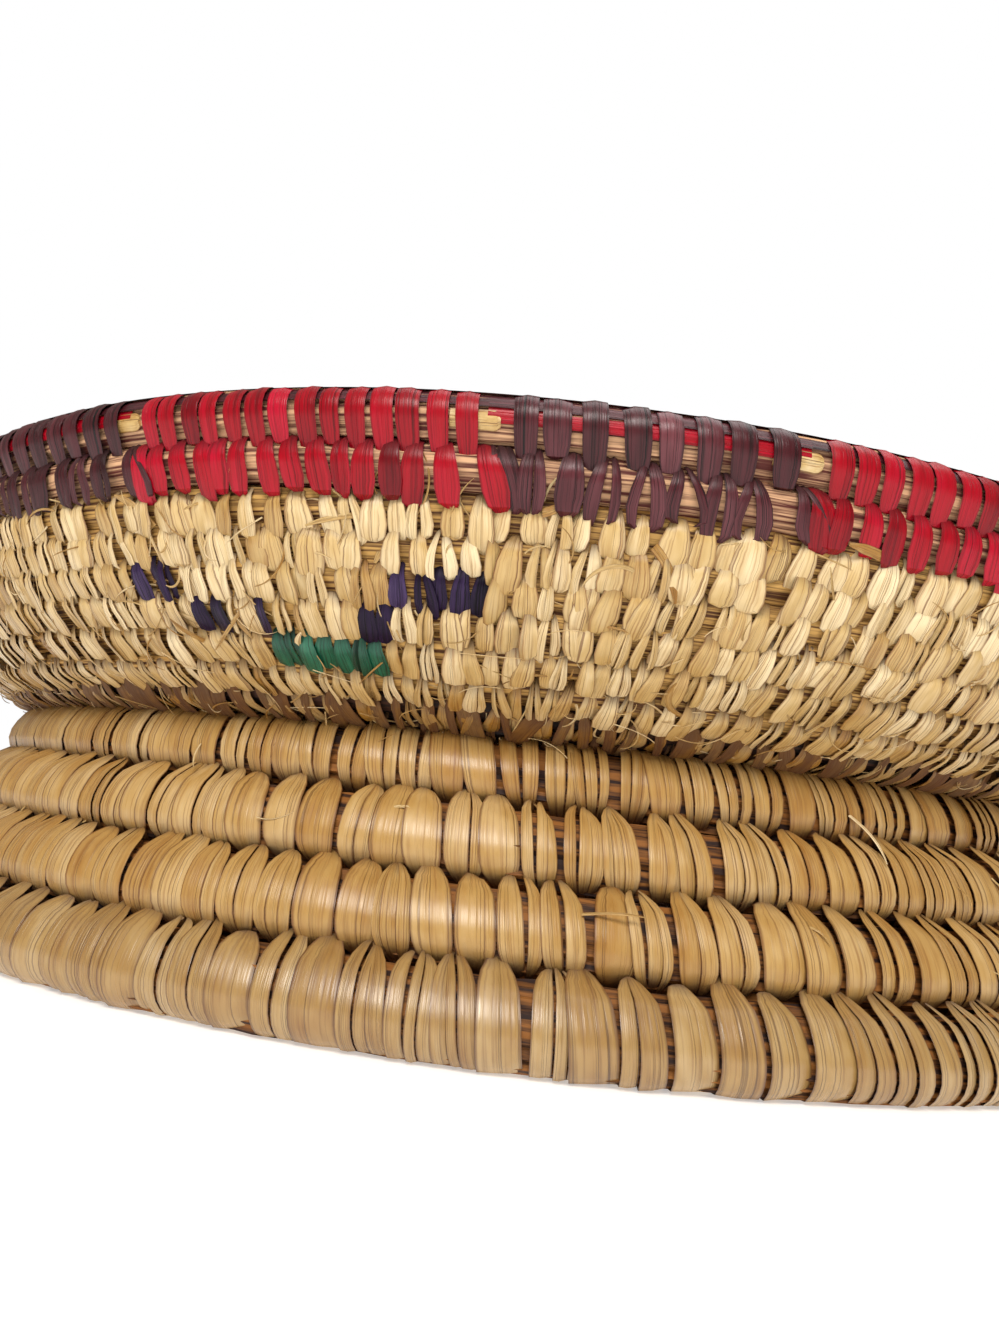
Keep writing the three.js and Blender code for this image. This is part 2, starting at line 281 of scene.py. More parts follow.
def strip_pattern(steps):
    """The strip's arrays, with each point's step, place across and height, and its unrolled map."""
    points, corners, starts = model_strip(steps)
    step = np.rint(points[:, 1]).astype(int)
    around = np.arctan2(points[:, 2], points[:, 0]) / FULL_TURN % 1
    share, face = round_map(around, corners, starts)
    along = MAP_ROOM + (1 - 2 * MAP_ROOM) * step[corners] / steps
    is_end = np.minimum.reduceat(step[corners], starts) == np.maximum.reduceat(step[corners], starts)
    end_round = 0.5 + END_REACH[0] * np.cos(FULL_TURN * share)
    end_along = np.where(along > 0.5, 1 - END_HEIGHT, END_HEIGHT) + END_REACH[1] * np.sin(FULL_TURN * share)
    at_end = is_end[face]
    across_map = np.where(at_end, end_round, share / MAP_ROUND)
    up_map = np.where(at_end, end_along, along)
    return {
        "corners": corners,
        "starts": starts,
        "step": step,
        "across": points[:, 0],
        "rise": points[:, 2],
        "unrolled": np.stack([across_map, up_map], 1),
    }


bowl_strip = strip_pattern(2 * len(TAIL_SHARES) + BOWL_ARC)
foot_strip = strip_pattern(2 * len(TAIL_SHARES) + FOOT_ARC)
for name, pattern in (("fine", bowl_strip), ("thick", foot_strip)):
    print("a strip for the", name, "coil has", len(pattern["starts"]), "faces")

# %% [markdown]
# ## From arrays to pieces
#
# Each piece is one mesh with two maps. The map called Strip runs across and along every strip, so that fibres
# can follow it. The map called OFBake gives each strip its own cell of a square grid, so that baked textures
# have room for all of them. Every point also carries a tone, which differs from strip to strip, and a mark of
# how darkly it is painted, as shade in creases and under other strips, with some dust.

# %% Make pieces
SMOOTH_ANGLE = math.radians(40)
CELL_MARGIN = 0.06


def grid_cells(count, unrolled):
    """Places of count copies of an unrolled strip, each in its own cell of a square grid."""
    columns = math.ceil(math.sqrt(count))
    cell = np.stack([np.arange(count) % columns, np.arange(count) // columns], 1)
    inside = CELL_MARGIN + (1 - 2 * CELL_MARGIN) * unrolled
    return (cell[:, None, :] + inside[None, :, :]) / columns


def new_piece(name, points, corners, starts, maps, marks):
    mesh = bpy.data.meshes.new(name)
    mesh.vertices.add(len(points))
    mesh.vertices.foreach_set("co", points.astype(np.float32).ravel())
    mesh.loops.add(len(corners))
    mesh.loops.foreach_set("vertex_index", corners.astype(np.int32))
    mesh.polygons.add(len(starts))
    mesh.polygons.foreach_set("loop_start", starts.astype(np.int32))
    mesh.update(calc_edges=True)
    for map_name, places in maps.items():
        layer = mesh.uv_layers.new(name=map_name)
        layer.uv.foreach_set("vector", places.astype(np.float32).ravel())
    for mark, values in marks.items():
        attribute = mesh.attributes.new(mark, "FLOAT", "POINT")
        attribute.data.foreach_set("value", values.astype(np.float32))
    piece = bpy.data.objects.new(name, mesh)
    bpy.context.scene.collection.objects.link(piece)
    return piece


def finish_piece(piece, material, replaced=()):
    """Smooths a piece, gives it its finish and joins it to the frame."""
    piece.data.materials.append(material)
    bpy.ops.object.select_all(action="DESELECT")
    piece.select_set(True)
    bpy.context.view_layer.objects.active = piece
    bpy.ops.object.shade_smooth_by_angle(angle=SMOOTH_ANGLE)
    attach(piece, "root")
    if replaced:
        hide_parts(*replaced)
    print(piece.name, "has", len(piece.data.polygons), "faces")


def strips_piece(name, pattern, line, across, normal, width, leaf, tone, shade_and_dust, cut=0.0):
    """One mesh of copies of the strip, bent along lines. Lines, directions and widths have a row for each
    copy and a column for each step. leaf is the strips' thickness, shade_and_dust has a value for each step
    that says how much painted shade and dust it gets, and cut is the slope of the outer ends."""
    count, step = len(line), pattern["step"]
    sideways = (width[:, step] * pattern["across"])[..., None]
    upwards = (leaf * pattern["rise"])[:, None]
    points = line[:, step] + across[:, step] * sideways + normal[:, step] * upwards
    ahead = line[:, 0] - line[:, 1]
    ahead /= np.linalg.norm(ahead, axis=1, keepdims=True)
    at_tip = step == 0
    points[:, at_tip] += ahead[:, None] * (sideways[:, at_tip, 0] * np.reshape(cut, (-1, 1)))[..., None]
    points[..., 2] = np.maximum(points[..., 2], leaf * (0.5 - pattern["rise"]))
    shift = np.arange(count)[:, None]
    corners = (pattern["corners"] + shift * len(step)).ravel()
    starts = (pattern["starts"] + shift * len(pattern["corners"])).ravel()
    along = (step / step.max())[pattern["corners"]]
    crosswise = np.tile(pattern["across"][pattern["corners"]] + 0.5, count)
    lengthwise = (along + tone[:, None]).ravel()
    cells = grid_cells(count, pattern["unrolled"]).reshape(-1, 2)
    maps = {"Strip": np.stack([crosswise, lengthwise], 1), "OFBake": cells}
    marks = {"tone": np.repeat(np.clip(tone, 0, 1), len(step)), "shade_and_dust": np.tile(shade_and_dust[step], count)}
    return new_piece(name, points.reshape(-1, 3), corners, starts, maps, marks)


# %% [markdown]
# ## How a stitch goes round its coil
#
# Seen along the coil, a stitch comes out of the row before, goes over its own row and back into the row
# before on the inner side. Its way is an arc with a straight tail at each end. On the bowl the tails are long
# and lie over the row below like roof tiles. On the foot, which was sewn from the top down, they go up into
# the crease. A leaf often splits along its fibres, so many stitches are two or three narrow strips side by
# side.

# %% Ways of the stitches
TAIL_DEGREES = 60  # a strip's tails count as this much more of its way


def way_round(pattern, degrees, hook=0.0, fullness=2.0):
    """A strip's way round a coil of radius 1, from the outer end to the inner end. degrees are the places of
    its steps round the coil, from the outward side. Tails leave straight on, and their tips turn inwards by
    the hook. A fullness above 2 makes the way bulge between the coil's sides."""
    degrees = np.array(degrees, float)
    arc = np.stack([np.cos(np.radians(degrees)), np.sin(np.radians(degrees))], 1)
    shares = np.array(TAIL_SHARES)
    leaving = shares[::-1, None] * np.array([arc[0][1], -arc[0][0]])
    arriving = shares[:, None] * np.array([-arc[-1][1], arc[-1][0]])
    normal = np.concatenate([np.repeat(arc[:1], len(shares), 0), arc, np.repeat(arc[-1:], len(shares), 0)])
    path = normal / (np.abs(normal) ** fullness).sum(1, keepdims=True) ** (1 / fullness)
    path[0] -= hook * arc[0]
    path[-1] -= hook * arc[-1]
    before = degrees[0] - TAIL_DEGREES * shares[::-1]
    after = degrees[-1] + TAIL_DEGREES * shares
    return {
        "pattern": pattern,
        "degrees": np.concatenate([before, degrees, after]),
        "path": path,
        "tail": np.concatenate([leaving, np.zeros_like(arc), arriving]),
        "normal": normal,
    }


def both_sides(*outer):
    """Values by degrees along a way whose inner side, from 90 degrees on, mirrors the outer side."""
    return (*outer, *((180 - degrees, value) for degrees, value in reversed(outer) if degrees < 90))


def section_frame(turn, row, step_out, step_up, side):
    """Middle of each row, its outward, onward and sideways directions, and half its thickness."""
    radius, height, size = row
    length = np.hypot(step_out, step_up)
    on_out, on_up = (step_out / length)[:, None], (step_up / length)[:, None]
    angle = angle_at(turn)
    zero = np.zeros_like(angle)
    radial = np.stack([np.cos(angle), np.sin(angle), zero], 1)
    upright = np.stack([zero, zero, zero + 1], 1)
    onward = on_out * radial + on_up * upright
    outward = side * (on_out * upright - on_up * radial)
    middle = radius[:, None] * radial + height[:, None] * upright
    return middle, outward, onward, np.cross(onward, outward), size


def bowl_frame(turn):
    row, below = bowl_row(turn), bowl_row(turn - 1)
    return section_frame(turn, row, row[0] - below[0], row[1] - below[1], -1)


def foot_frame(turn):
    step_out, step_up = np.full_like(turn, foot_flare), np.full_like(turn, -foot_rise)
    return section_frame(turn, foot_row(turn), step_out, step_up, 1)


# %% Stitches
PART_GAP = 0.94  # the parts of a split stitch cover this much of its width
PART_WIDTHS = (0.6, 1.4)  # range of the parts' widths, before they share the stitch
TAIL_RANGE = (0.8, 1.15)  # of the tails' lengths, as shares of the look's
TIP_START, TIP_SPAN = 40, 100  # degrees: a stitch spreads and flares from the start on, towards its outer end
LEAN_MIDDLE, LEAN_SPAN = 90, 160  # degrees: a stitch leans to both sides of the middle of its way
LEAN_WAVES = 5  # neighbours slant alike, and the slant changes sides this often round the bowl
LEAN_START = math.radians(-5)


def split_stitches(count, chances, rng):
    """For each strip: its stitch, its share of the stitch's width and its place across it."""
    parts = rng.choice(np.arange(1, len(chances) + 1), count, p=chances)
    stitch = np.repeat(np.arange(count), parts)
    raw = rng.uniform(*PART_WIDTHS, len(stitch))
    share = raw / np.bincount(stitch, raw)[stitch]
    ends = np.cumsum(share)
    first = np.concatenate([[0], np.cumsum(parts)[:-1]])
    before = (ends - share)[first][stitch]
    return stitch, share, ends - share / 2 - before - 0.5


def sew(name, frame_at, turns, way, look, rng):
    """One piece of stitches at these turns. look says how wide, split, slanted and pale they are."""
    count = len(turns)
    stitch, share, place = split_stitches(count, look["splits"], rng)
    middle, outward, onward, sideways, size = (part[:, None] for part in frame_at(turns[stitch]))
    degrees = way["degrees"]
    tail = (look["tail"] * rng.uniform(*TAIL_RANGE, count))[stitch][:, None, None]
    facing = angle_at(turns) + math.pi / 2
    drift = look["drift"] * np.sin(LEAN_WAVES * (LEAN_START - facing))
    lean = (look["slant"] + drift + rng.normal(0, look["lean"], count))[stitch][:, None]
    lean = lean + rng.normal(0, look["looseness"], (len(stitch), 1))
    spread = (look["spread"] * rng.random(count) ** 2)[stitch][:, None]
    lift = look["lift"] + rng.normal(0, look["unevenness"], (len(stitch), 1))
    tilt = rng.normal(look["overlap"], look["tilt"], (len(stitch), 1, 1))
    flare = (look["flare"] * rng.random(len(stitch)))[:, None]
    tone = look["tone"] + rng.normal(0, look["shades"], count)[stitch]
    tone = tone + rng.normal(0, look["shades"] / 2, len(stitch))
    stitch_width = (look["width"] * rng.uniform(*look["widths"], count))[stitch][:, None]
    widths = stitch_width * np.interp(degrees, *np.transpose(look["shape"]))
    path = (size + lift)[..., None] * (way["path"] + tail * way["tail"])
    near_tip = np.clip((TIP_START - degrees) / TIP_SPAN, 0, 1)
    aside = widths * place[:, None] * (1 + spread * near_tip) + lean * (LEAN_MIDDLE - degrees) / LEAN_SPAN
    line = middle + path[..., :1] * outward + path[..., 1:] * onward + aside[..., None] * sideways
    line = line + (flare * near_tip)[..., None] * outward
    normal = way["normal"][:, :1] * outward + way["normal"][:, 1:] * onward
    across = np.cos(tilt) * sideways + np.sin(tilt) * normal
    widths = widths * share[:, None] * np.where(share < 1, PART_GAP, 1)[:, None]
    shade_and_dust = np.interp(degrees, *np.transpose(look["shade_and_dust"]))
    cut = rng.normal(0, look["cut"], len(stitch))
    return strips_piece(name, way["pattern"], line, across, normal, widths, look["leaf"], tone, shade_and_dust, cut)


def even_turns(first, last, per_turn, unevenness, rng):
    """Turns of stitches between two turns, spaced a little unevenly."""
    turns = first + np.arange(math.floor((last - first) * per_turn)) / per_turn
    return turns + rng.uniform(-unevenness, unevenness, len(turns)) / per_turn


# %% [markdown]
# ## Finishes
#
# Palm leaf has fine fibres along its length, paler and darker strips and a satin shine. Where it goes into a
# crease or under another strip it is painted dark brown, as shade with some dust, and its edges are painted
# darker, as shade between strips. Both the plain and the dyed strips share these effects, so they are one node
# group with its own colours in each material. The grass of the coils has another group: stems along the coil,
# pale and brown. Everything follows the Strip map, so it bends with each strip.

# %% Node helpers
COLOUR, VALUE = "NodeSocketColor", "NodeSocketFloat"
TONE_LAYERS = 97.0  # how far apart the noise of two tones lies
NOISE_ROUGHNESS = 0.6


def add_node(tree, kind, settings, inputs):
    """A node with its settings, and its inputs set to values or linked to other nodes' outputs."""
    made = tree.nodes.new(kind)
    for name, value in settings.items():
        setattr(made, name, value)
    for key, value in inputs.items():
        if isinstance(value, bpy.types.NodeSocket):
            tree.links.new(value, made.inputs[key])
        else:
            made.inputs[key].default_value = value
    return made


def maths(tree, operation, first, second):
    return add_node(tree, "ShaderNodeMath", {"operation": operation}, {0: first, 1: second}).outputs[0]


def stretch(tree, value, low, high, new_low, new_high):
    """A value moved from one range to another, kept inside the new one."""
    inputs = {"Value": value, "From Min": low, "From Max": high, "To Min": new_low, "To Max": new_high}
    return add_node(tree, "ShaderNodeMapRange", {}, inputs).outputs["Result"]


def mix_colours(tree, share, first, second, way="MIX"):
    settings = {"data_type": "RGBA", "blend_type": way}
    return add_node(tree, "ShaderNodeMix", settings, {0: share, 6: first, 7: second}).outputs[2]


def noise(tree, place, scale, detail):
    inputs = {"Vector": place, "Scale": scale, "Detail": detail, "Roughness": NOISE_ROUGHNESS}
    return add_node(tree, "ShaderNodeTexNoise", {}, inputs).outputs["Fac"]


def mark(tree, name):
    return add_node(tree, "ShaderNodeAttribute", {"attribute_name": name}, {}).outputs["Fac"]


def strip_place(tree, across, along):
    """Coordinates on the Strip map, stretched, with a layer of its own for each tone."""
    place = add_node(tree, "ShaderNodeUVMap", {"uv_map": "Strip"}, {}).outputs["UV"]
    parts = add_node(tree, "ShaderNodeSeparateXYZ", {}, {0: place}).outputs
    tone = mark(tree, "tone")
    inputs = {
        0: maths(tree, "MULTIPLY", parts["X"], across),
        1: maths(tree, "MULTIPLY", parts["Y"], along),
        2: maths(tree, "MULTIPLY", tone, TONE_LAYERS),
    }
    return add_node(tree, "ShaderNodeCombineXYZ", {}, inputs).outputs[0], parts["X"], tone


def new_group(name, inputs, outputs):
    group = bpy.data.node_groups.new(name, "ShaderNodeTree")
    for socket, kind in inputs.items():
        group.interface.new_socket(socket, in_out="INPUT", socket_type=kind)
    for socket, kind in outputs.items():
        group.interface.new_socket(socket, in_out="OUTPUT", socket_type=kind)
    return group, group.nodes.new("NodeGroupInput").outputs, group.nodes.new("NodeGroupOutput").inputs


# %% Leaf and grass groups
FIBRES_ACROSS = 12.0
FIBRES_ALONG = 1.3
CRACKS_ACROSS = 20.0
CRACKS_ALONG = 0.35
PATCHES_ACROSS = 1.6
PATCHES_ALONG = 3.0
STEMS_AROUND = 34.0
STEMS_ALONG = 0.4


def leaf_group():
    inputs = {**dict.fromkeys(("Deep", "Middle", "Pale", "Shade and dust", "Edge shade and cracks"), COLOUR), "Fibres": VALUE}
    outputs = {"Colour": COLOUR, "Height": VALUE, "Roughness": VALUE}
    tree, given, result = new_group("Leaf strip", inputs, outputs)
    place, across, tone = strip_place(tree, FIBRES_ACROSS, FIBRES_ALONG)
    fibre = noise(tree, place, 1.0, 3.0)
    broad = noise(tree, strip_place(tree, PATCHES_ACROSS, PATCHES_ALONG)[0], 1.0, 2.0)
    patch = maths(tree, "ADD", tone, stretch(tree, broad, 0.25, 0.75, -0.22, 0.22))
    low = mix_colours(tree, stretch(tree, patch, 0.05, 0.5, 0, 1), given["Deep"], given["Middle"])
    colour = mix_colours(tree, stretch(tree, patch, 0.5, 0.95, 0, 1), low, given["Pale"])
    line = maths(tree, "MULTIPLY", stretch(tree, fibre, 0.5, 0.3, 0, 1), given["Fibres"])
    colour = mix_colours(tree, line, colour, given["Deep"], "MULTIPLY")
    crack = noise(tree, strip_place(tree, CRACKS_ACROSS, CRACKS_ALONG)[0], 1.0, 1.0)
    cracked = maths(tree, "MULTIPLY", stretch(tree, crack, 0.36, 0.33, 0, 1.0), given["Fibres"])
    colour = mix_colours(tree, cracked, colour, given["Edge shade and cracks"], "MULTIPLY")
    # Painted shade: a band along both edges of every strip is darkened towards the edge colour, standing in
    # for shade between strips. The cracks above use the same colour, as real cracks.
    from_middle = maths(tree, "ABSOLUTE", maths(tree, "SUBTRACT", across, 0.5), 0.0)
    colour = mix_colours(tree, stretch(tree, from_middle, 0.42, 0.5, 0, 0.85), colour, given["Edge shade and cracks"])
    # Painted shade and dust: this mark, broken up by patches, turns the colour dark brown and makes it
    # rougher.
    patchy = maths(tree, "ADD", mark(tree, "shade_and_dust"), stretch(tree, broad, 0.3, 0.7, -0.2, 0.2))
    shade_and_dust_share = stretch(tree, patchy, 0.15, 1.0, 0, 0.85)
    colour = mix_colours(tree, shade_and_dust_share, colour, given["Shade and dust"])
    matt = stretch(tree, maths(tree, "SUBTRACT", shade_and_dust_share, fibre), -0.7, 0.5, 0.26, 0.75)
    tree.links.new(colour, result["Colour"])
    height = maths(tree, "SUBTRACT", fibre, stretch(tree, crack, 0.4, 0.33, 0, 0.6))
    tree.links.new(height, result["Height"])
    tree.links.new(matt, result["Roughness"])
    return tree


def grass_group():
    inputs = {"Deep": COLOUR, "Pale": COLOUR}
    tree, given, result = new_group("Grass bundle", inputs, {"Colour": COLOUR, "Height": VALUE})
    place = strip_place(tree, STEMS_AROUND, STEMS_ALONG)[0]
    stems = noise(tree, place, 1.0, 4.0)
    colour = mix_colours(tree, stretch(tree, stems, 0.42, 0.58, 0, 1), given["Deep"], given["Pale"])
    tree.links.new(colour, result["Colour"])
    tree.links.new(stems, result["Height"])
    return tree


leaf_strip = leaf_group()
grass_bundle = grass_group()
print("node groups:", leaf_strip.name, "and", grass_bundle.name)

# %% Materials
BUMP_DEPTH = 0.12 * MM
LEAF_BUMP = 0.6
GRASS_BUMP = 0.9
GRASS_ROUGHNESS = 0.75


def srgb(red, green, blue):
    """A colour from 0 to 255, as a picture holds it, in the linear values that shaders use."""
    parts = np.array([red, green, blue]) / 255
    linear = np.where(parts < 0.04045, parts / 12.92, ((parts + 0.055) / 1.055) ** 2.4)
    return (*linear.tolist(), 1.0)


def new_material(name, group, values, bump):
    """A material with the colour and the bumps of a node group."""
    material = bpy.data.materials.new(name)
    material.use_nodes = True
    tree = material.node_tree
    shader = tree.nodes["Principled BSDF"]
    effect = add_node(tree, "ShaderNodeGroup", {"node_tree": group}, values)
    inputs = {"Height": effect.outputs["Height"], "Strength": bump, "Distance": BUMP_DEPTH}
    tree.links.new(effect.outputs["Colour"], shader.inputs["Base Color"])
    tree.links.new(add_node(tree, "ShaderNodeBump", {}, inputs).outputs[0], shader.inputs["Normal"])
    return material, effect, shader


def leaf_material(name, deep, middle, pale, shade_and_dust, edge_shade_and_cracks, fibres, shine):
    values = {"Deep": deep, "Middle": middle, "Pale": pale, "Shade and dust": shade_and_dust, "Edge shade and cracks": edge_shade_and_cracks, "Fibres": fibres}
    material, effect, shader = new_material(name, leaf_strip, values, LEAF_BUMP)
    material.node_tree.links.new(effect.outputs["Roughness"], shader.inputs["Roughness"])
    shader.inputs["Specular IOR Level"].default_value = shine
    return material


def grass_material(name, deep, pale):
    material, effect, shader = new_material(name, grass_bundle, {"Deep": deep, "Pale": pale}, GRASS_BUMP)
    shader.inputs["Roughness"].default_value = GRASS_ROUGHNESS
    return material


natural_leaf = leaf_material(
    "natural_leaf",
    deep=srgb(166, 119, 47), middle=srgb(210, 177, 116), pale=srgb(247, 226, 182),
    shade_and_dust=srgb(72, 31, 3), edge_shade_and_cracks=srgb(116, 66, 12), fibres=0.7, shine=0.5,
)
foot_leaf = leaf_material(
    "foot_leaf",
    deep=srgb(152, 100, 33), middle=srgb(186, 147, 85), pale=srgb(215, 185, 134),
    shade_and_dust=srgb(66, 26, 1), edge_shade_and_cracks=srgb(92, 44, 5), fibres=0.5, shine=0.5,
)
# Painted sheen: the lowest row's paler, greyer colours stand in for the white floor's reflection. Its higher
# Specular IOR Level makes it shine more.
floor_sheen_leaf = leaf_material(
    "floor_sheen_leaf",
    deep=srgb(141, 96, 37), middle=srgb(174, 139, 83), pale=srgb(208, 182, 137),
    shade_and_dust=srgb(66, 26, 1), edge_shade_and_cracks=srgb(84, 40, 5), fibres=0.5, shine=0.9,
)
red_leaf = leaf_material(
    "red_leaf",
    deep=srgb(108, 0, 14), middle=srgb(164, 0, 24), pale=srgb(192, 14, 48),
    shade_and_dust=srgb(70, 0, 10), edge_shade_and_cracks=srgb(132, 4, 24), fibres=0.7, shine=0.3,
)
plum_leaf = leaf_material(
    "plum_leaf",
    deep=srgb(44, 7, 11), middle=srgb(78, 27, 34), pale=srgb(117, 62, 69),
    shade_and_dust=srgb(26, 6, 8), edge_shade_and_cracks=srgb(46, 10, 16), fibres=1.0, shine=0.35,
)
purple_leaf = leaf_material(
    "purple_leaf",
    deep=srgb(18, 7, 28), middle=srgb(44, 25, 62), pale=srgb(82, 64, 106),
    shade_and_dust=srgb(12, 4, 16), edge_shade_and_cracks=srgb(18, 6, 30), fibres=1.0, shine=0.2,
)
green_leaf = leaf_material(
    "green_leaf",
    deep=srgb(4, 46, 34), middle=srgb(14, 96, 70), pale=srgb(70, 146, 114),
    shade_and_dust=srgb(6, 30, 20), edge_shade_and_cracks=srgb(20, 80, 58), fibres=1.0, shine=0.5,
)
foot_grass = grass_material("foot_grass", deep=srgb(40, 13, 1), pale=srgb(150, 94, 36))
# Painted shade: the grass of the groove under the wall is made near black, standing in for the shade there.
groove_shade_grass = grass_material("groove_shade_grass", deep=srgb(20, 6, 2), pale=srgb(66, 35, 19))
bowl_grass = grass_material("bowl_grass", deep=srgb(78, 41, 5), pale=srgb(206, 161, 89))
rim_grass = grass_material("rim_grass", deep=srgb(84, 26, 18), pale=srgb(224, 176, 134))
print("finishes:", len(bpy.data.materials))

# %% [markdown]
# ## Grass bundles
#
# Under the strips runs a bundle of grass, and it shows in every gap. A ring with every other point drawn in
# is one slice of the bundle. It is extruded by one step, an Array modifier repeats it, and the straight
# bundle is then laid along the coil. A plain tube would do under the strips, but the ridges catch the light.
# The sewing presses each loop against the next, so a bundle is a little higher than it is wide.

# %% Make the bundles
RIDGE = 0.92  # how far the points between two stems are drawn in
STEM_WAVES = 0.025
BUNDLE_TWIST = 0.7  # turns of the bundle for each turn of the coil
MAP_LENGTH = 10 * MM  # length of coil for one unit of the Strip map
BAKE_BANDS = 24


def select_every_other(obj, sides):
    """Selects every other point of a ring, in edit mode."""
    bpy.ops.mesh.select_all(action="DESELECT")
    bpy.ops.object.mode_set(mode="OBJECT")
    for point in obj.data.vertices:
        place = math.atan2(point.co.y, point.co.x) / FULL_TURN * sides
        point.select = round(place) % 2 == 1
    bpy.ops.object.mode_set(mode="EDIT")


def model_bundle(sides, steps):
    """A straight bundle along Z, of radius 1, with one unit of length for each step."""
    bpy.ops.object.select_all(action="DESELECT")
    bpy.ops.mesh.primitive_circle_add(vertices=sides, radius=1, fill_type="NOTHING")
    bundle = bpy.context.object
    bpy.ops.object.mode_set(mode="EDIT")
    bpy.ops.mesh.select_mode(type="VERT")
    select_every_other(bundle, sides)
    bpy.ops.transform.resize(value=(RIDGE, RIDGE, 1))
    bpy.ops.mesh.select_all(action="SELECT")
    bpy.ops.mesh.extrude_region_move(TRANSFORM_OT_translate={"value": (0, 0, 1)})
    bpy.ops.object.mode_set(mode="OBJECT")
    repeat = bundle.modifiers.new("along the coil", "ARRAY")
    repeat.count = steps
    repeat.use_relative_offset = False
    repeat.use_constant_offset = True
    repeat.constant_offset_displace = (0, 0, 1)
    repeat.use_merge_vertices = True
    bpy.ops.object.modifier_apply(modifier=repeat.name)
    bpy.ops.object.mode_set(mode="EDIT")
    close_and_turn_out()
    return arrays_of(bundle)


def lay_bundle(name, frame_at, span, steps, sides, girth, rng):
    """A bundle of grass along a coil over a span of turns. girth is its half width outwards and onwards, as
    shares of half the coil's thickness."""
    points, corners, starts = model_bundle(sides, steps)
    step = np.rint(points[:, 2]).astype(int)
    middle, outward, onward, _, size = frame_at(np.linspace(*span, steps + 1))
    around = np.arctan2(points[:, 1], points[:, 0]) % FULL_TURN
    stem = np.rint(around / FULL_TURN * sides).astype(int) % sides
    waves = rng.normal(0, STEM_WAVES, (steps + 1, sides))
    waves += np.roll(waves, 1, 0)
    reach = size[step] * (np.hypot(points[:, 0], points[:, 1]) + waves[step, stem])
    roll = around + FULL_TURN * BUNDLE_TWIST * np.linspace(*span, steps + 1)[step]
    out = (girth[0] * reach * np.cos(roll))[:, None]
    on = (girth[1] * reach * np.sin(roll))[:, None]
    laid = middle[step] + out * outward[step] + on * onward[step]
    laid[:, 2] = np.maximum(laid[:, 2], LEAF)
    length = np.concatenate([[0], np.cumsum(np.linalg.norm(np.diff(middle, axis=0), axis=1))])
    share, face = round_map(stem / sides, corners, starts)
    band_steps = math.ceil(steps / BAKE_BANDS)
    band = np.minimum.reduceat(step[corners], starts)[face] // band_steps
    in_band = (step[corners] - band * band_steps) / band_steps
    across_band = CELL_MARGIN + (1 - 2 * CELL_MARGIN) * share / (1 + 1 / sides)
    maps = {
        "Strip": np.stack([share, length[step][corners] / MAP_LENGTH], 1),
        "OFBake": np.stack([in_band, (band + across_band) / BAKE_BANDS], 1),
    }
    return new_piece(name, laid, corners, starts, maps, {"tone": np.zeros(len(points))})


GROOVE_TOP = FLOOR_LOOPS + 2  # the wall's two lowest loops lie in the dark groove over the foot
FLOOR_START = 0.7  # turns from the middle, under the knot
FOOT_END = 1.5  # the foot's tail goes on for this many tips
tip = CLIMB / 2 / FULL_TURN  # length of a coil's tapered tip, in turns
foot_span = (tip, FOOT_LOOPS + FOOT_END * tip)
floor_span = (FLOOR_START, FLOOR_LOOPS)
# Each bundle: its name, coil, span of turns, steps, sides, girth, finish and the solids that it stands for
bundles = (
    ("foot_core", foot_frame, foot_span, 640, 40, (0.92, 1.06), foot_grass, ["foot_coil"]),
    ("floor_core", bowl_frame, floor_span, 1500, 12, (0.9, 1.32), bowl_grass, ["bowl_floor_coil"]),
    ("groove_core", bowl_frame, (FLOOR_LOOPS, GROOVE_TOP), 300, 20, (0.85, 1.25), groove_shade_grass, []),
    ("wall_core", bowl_frame, (GROOVE_TOP, WALL_TOP), 900, 20, (0.9, 1.3), bowl_grass, ["bowl_wall_coil"]),
    ("rim_core", bowl_frame, (WALL_TOP, RIM_TOP + tip), 400, 24, (0.94, 1.18), rim_grass, ["rim_coil"]),
)
rng = np.random.default_rng(11)
for name, frame_at, span, steps, sides, girth, material, replaced in bundles:
    bundle = lay_bundle(name, frame_at, span, steps, sides, girth, rng)
    finish_piece(bundle, material, replaced)

# %% [markdown]
# ## Stitches of the foot
#
# Stitches of one row of the foot go into the crease between two stitches of the row above, so the creases are
# dark zigzags, painted darker as shade with some dust. The top row's strips are broad over the top. The lowest
# row's are broad underneath, where they meet the table. Their colours are paler and greyer, a painted sheen
# from the floor's reflection, and they shine more.

# %% Sew the foot
FOOT_STITCHES = 160.75  # in a turn: the fraction puts each row's tips between the stitches of the row above
FOOT_UNEVENNESS = 0.07  # of the stitches' places, as a share of their spacing
FOOT_FULLNESS = 2.5
FIRST_STITCH, LAST_STITCH = 1.05, 1.45  # of the foot, in tips past the coil's start and past its last loop
# Steps round the coil are close together where they show: degrees, where 0 is outside and 90 the lower crease
from_crease = (-28, -16, -4, 8, 20, 32, 44, 56, 68, 82, 105, 155, 215)
from_groove = (-130, -105, -80, -58, -38, -18, 2, 20, 38, 54, 70, 86, 195)
into_crease = way_round(foot_strip, from_crease, fullness=FOOT_FULLNESS)
over_the_top = way_round(foot_strip, from_groove, fullness=FOOT_FULLNESS)
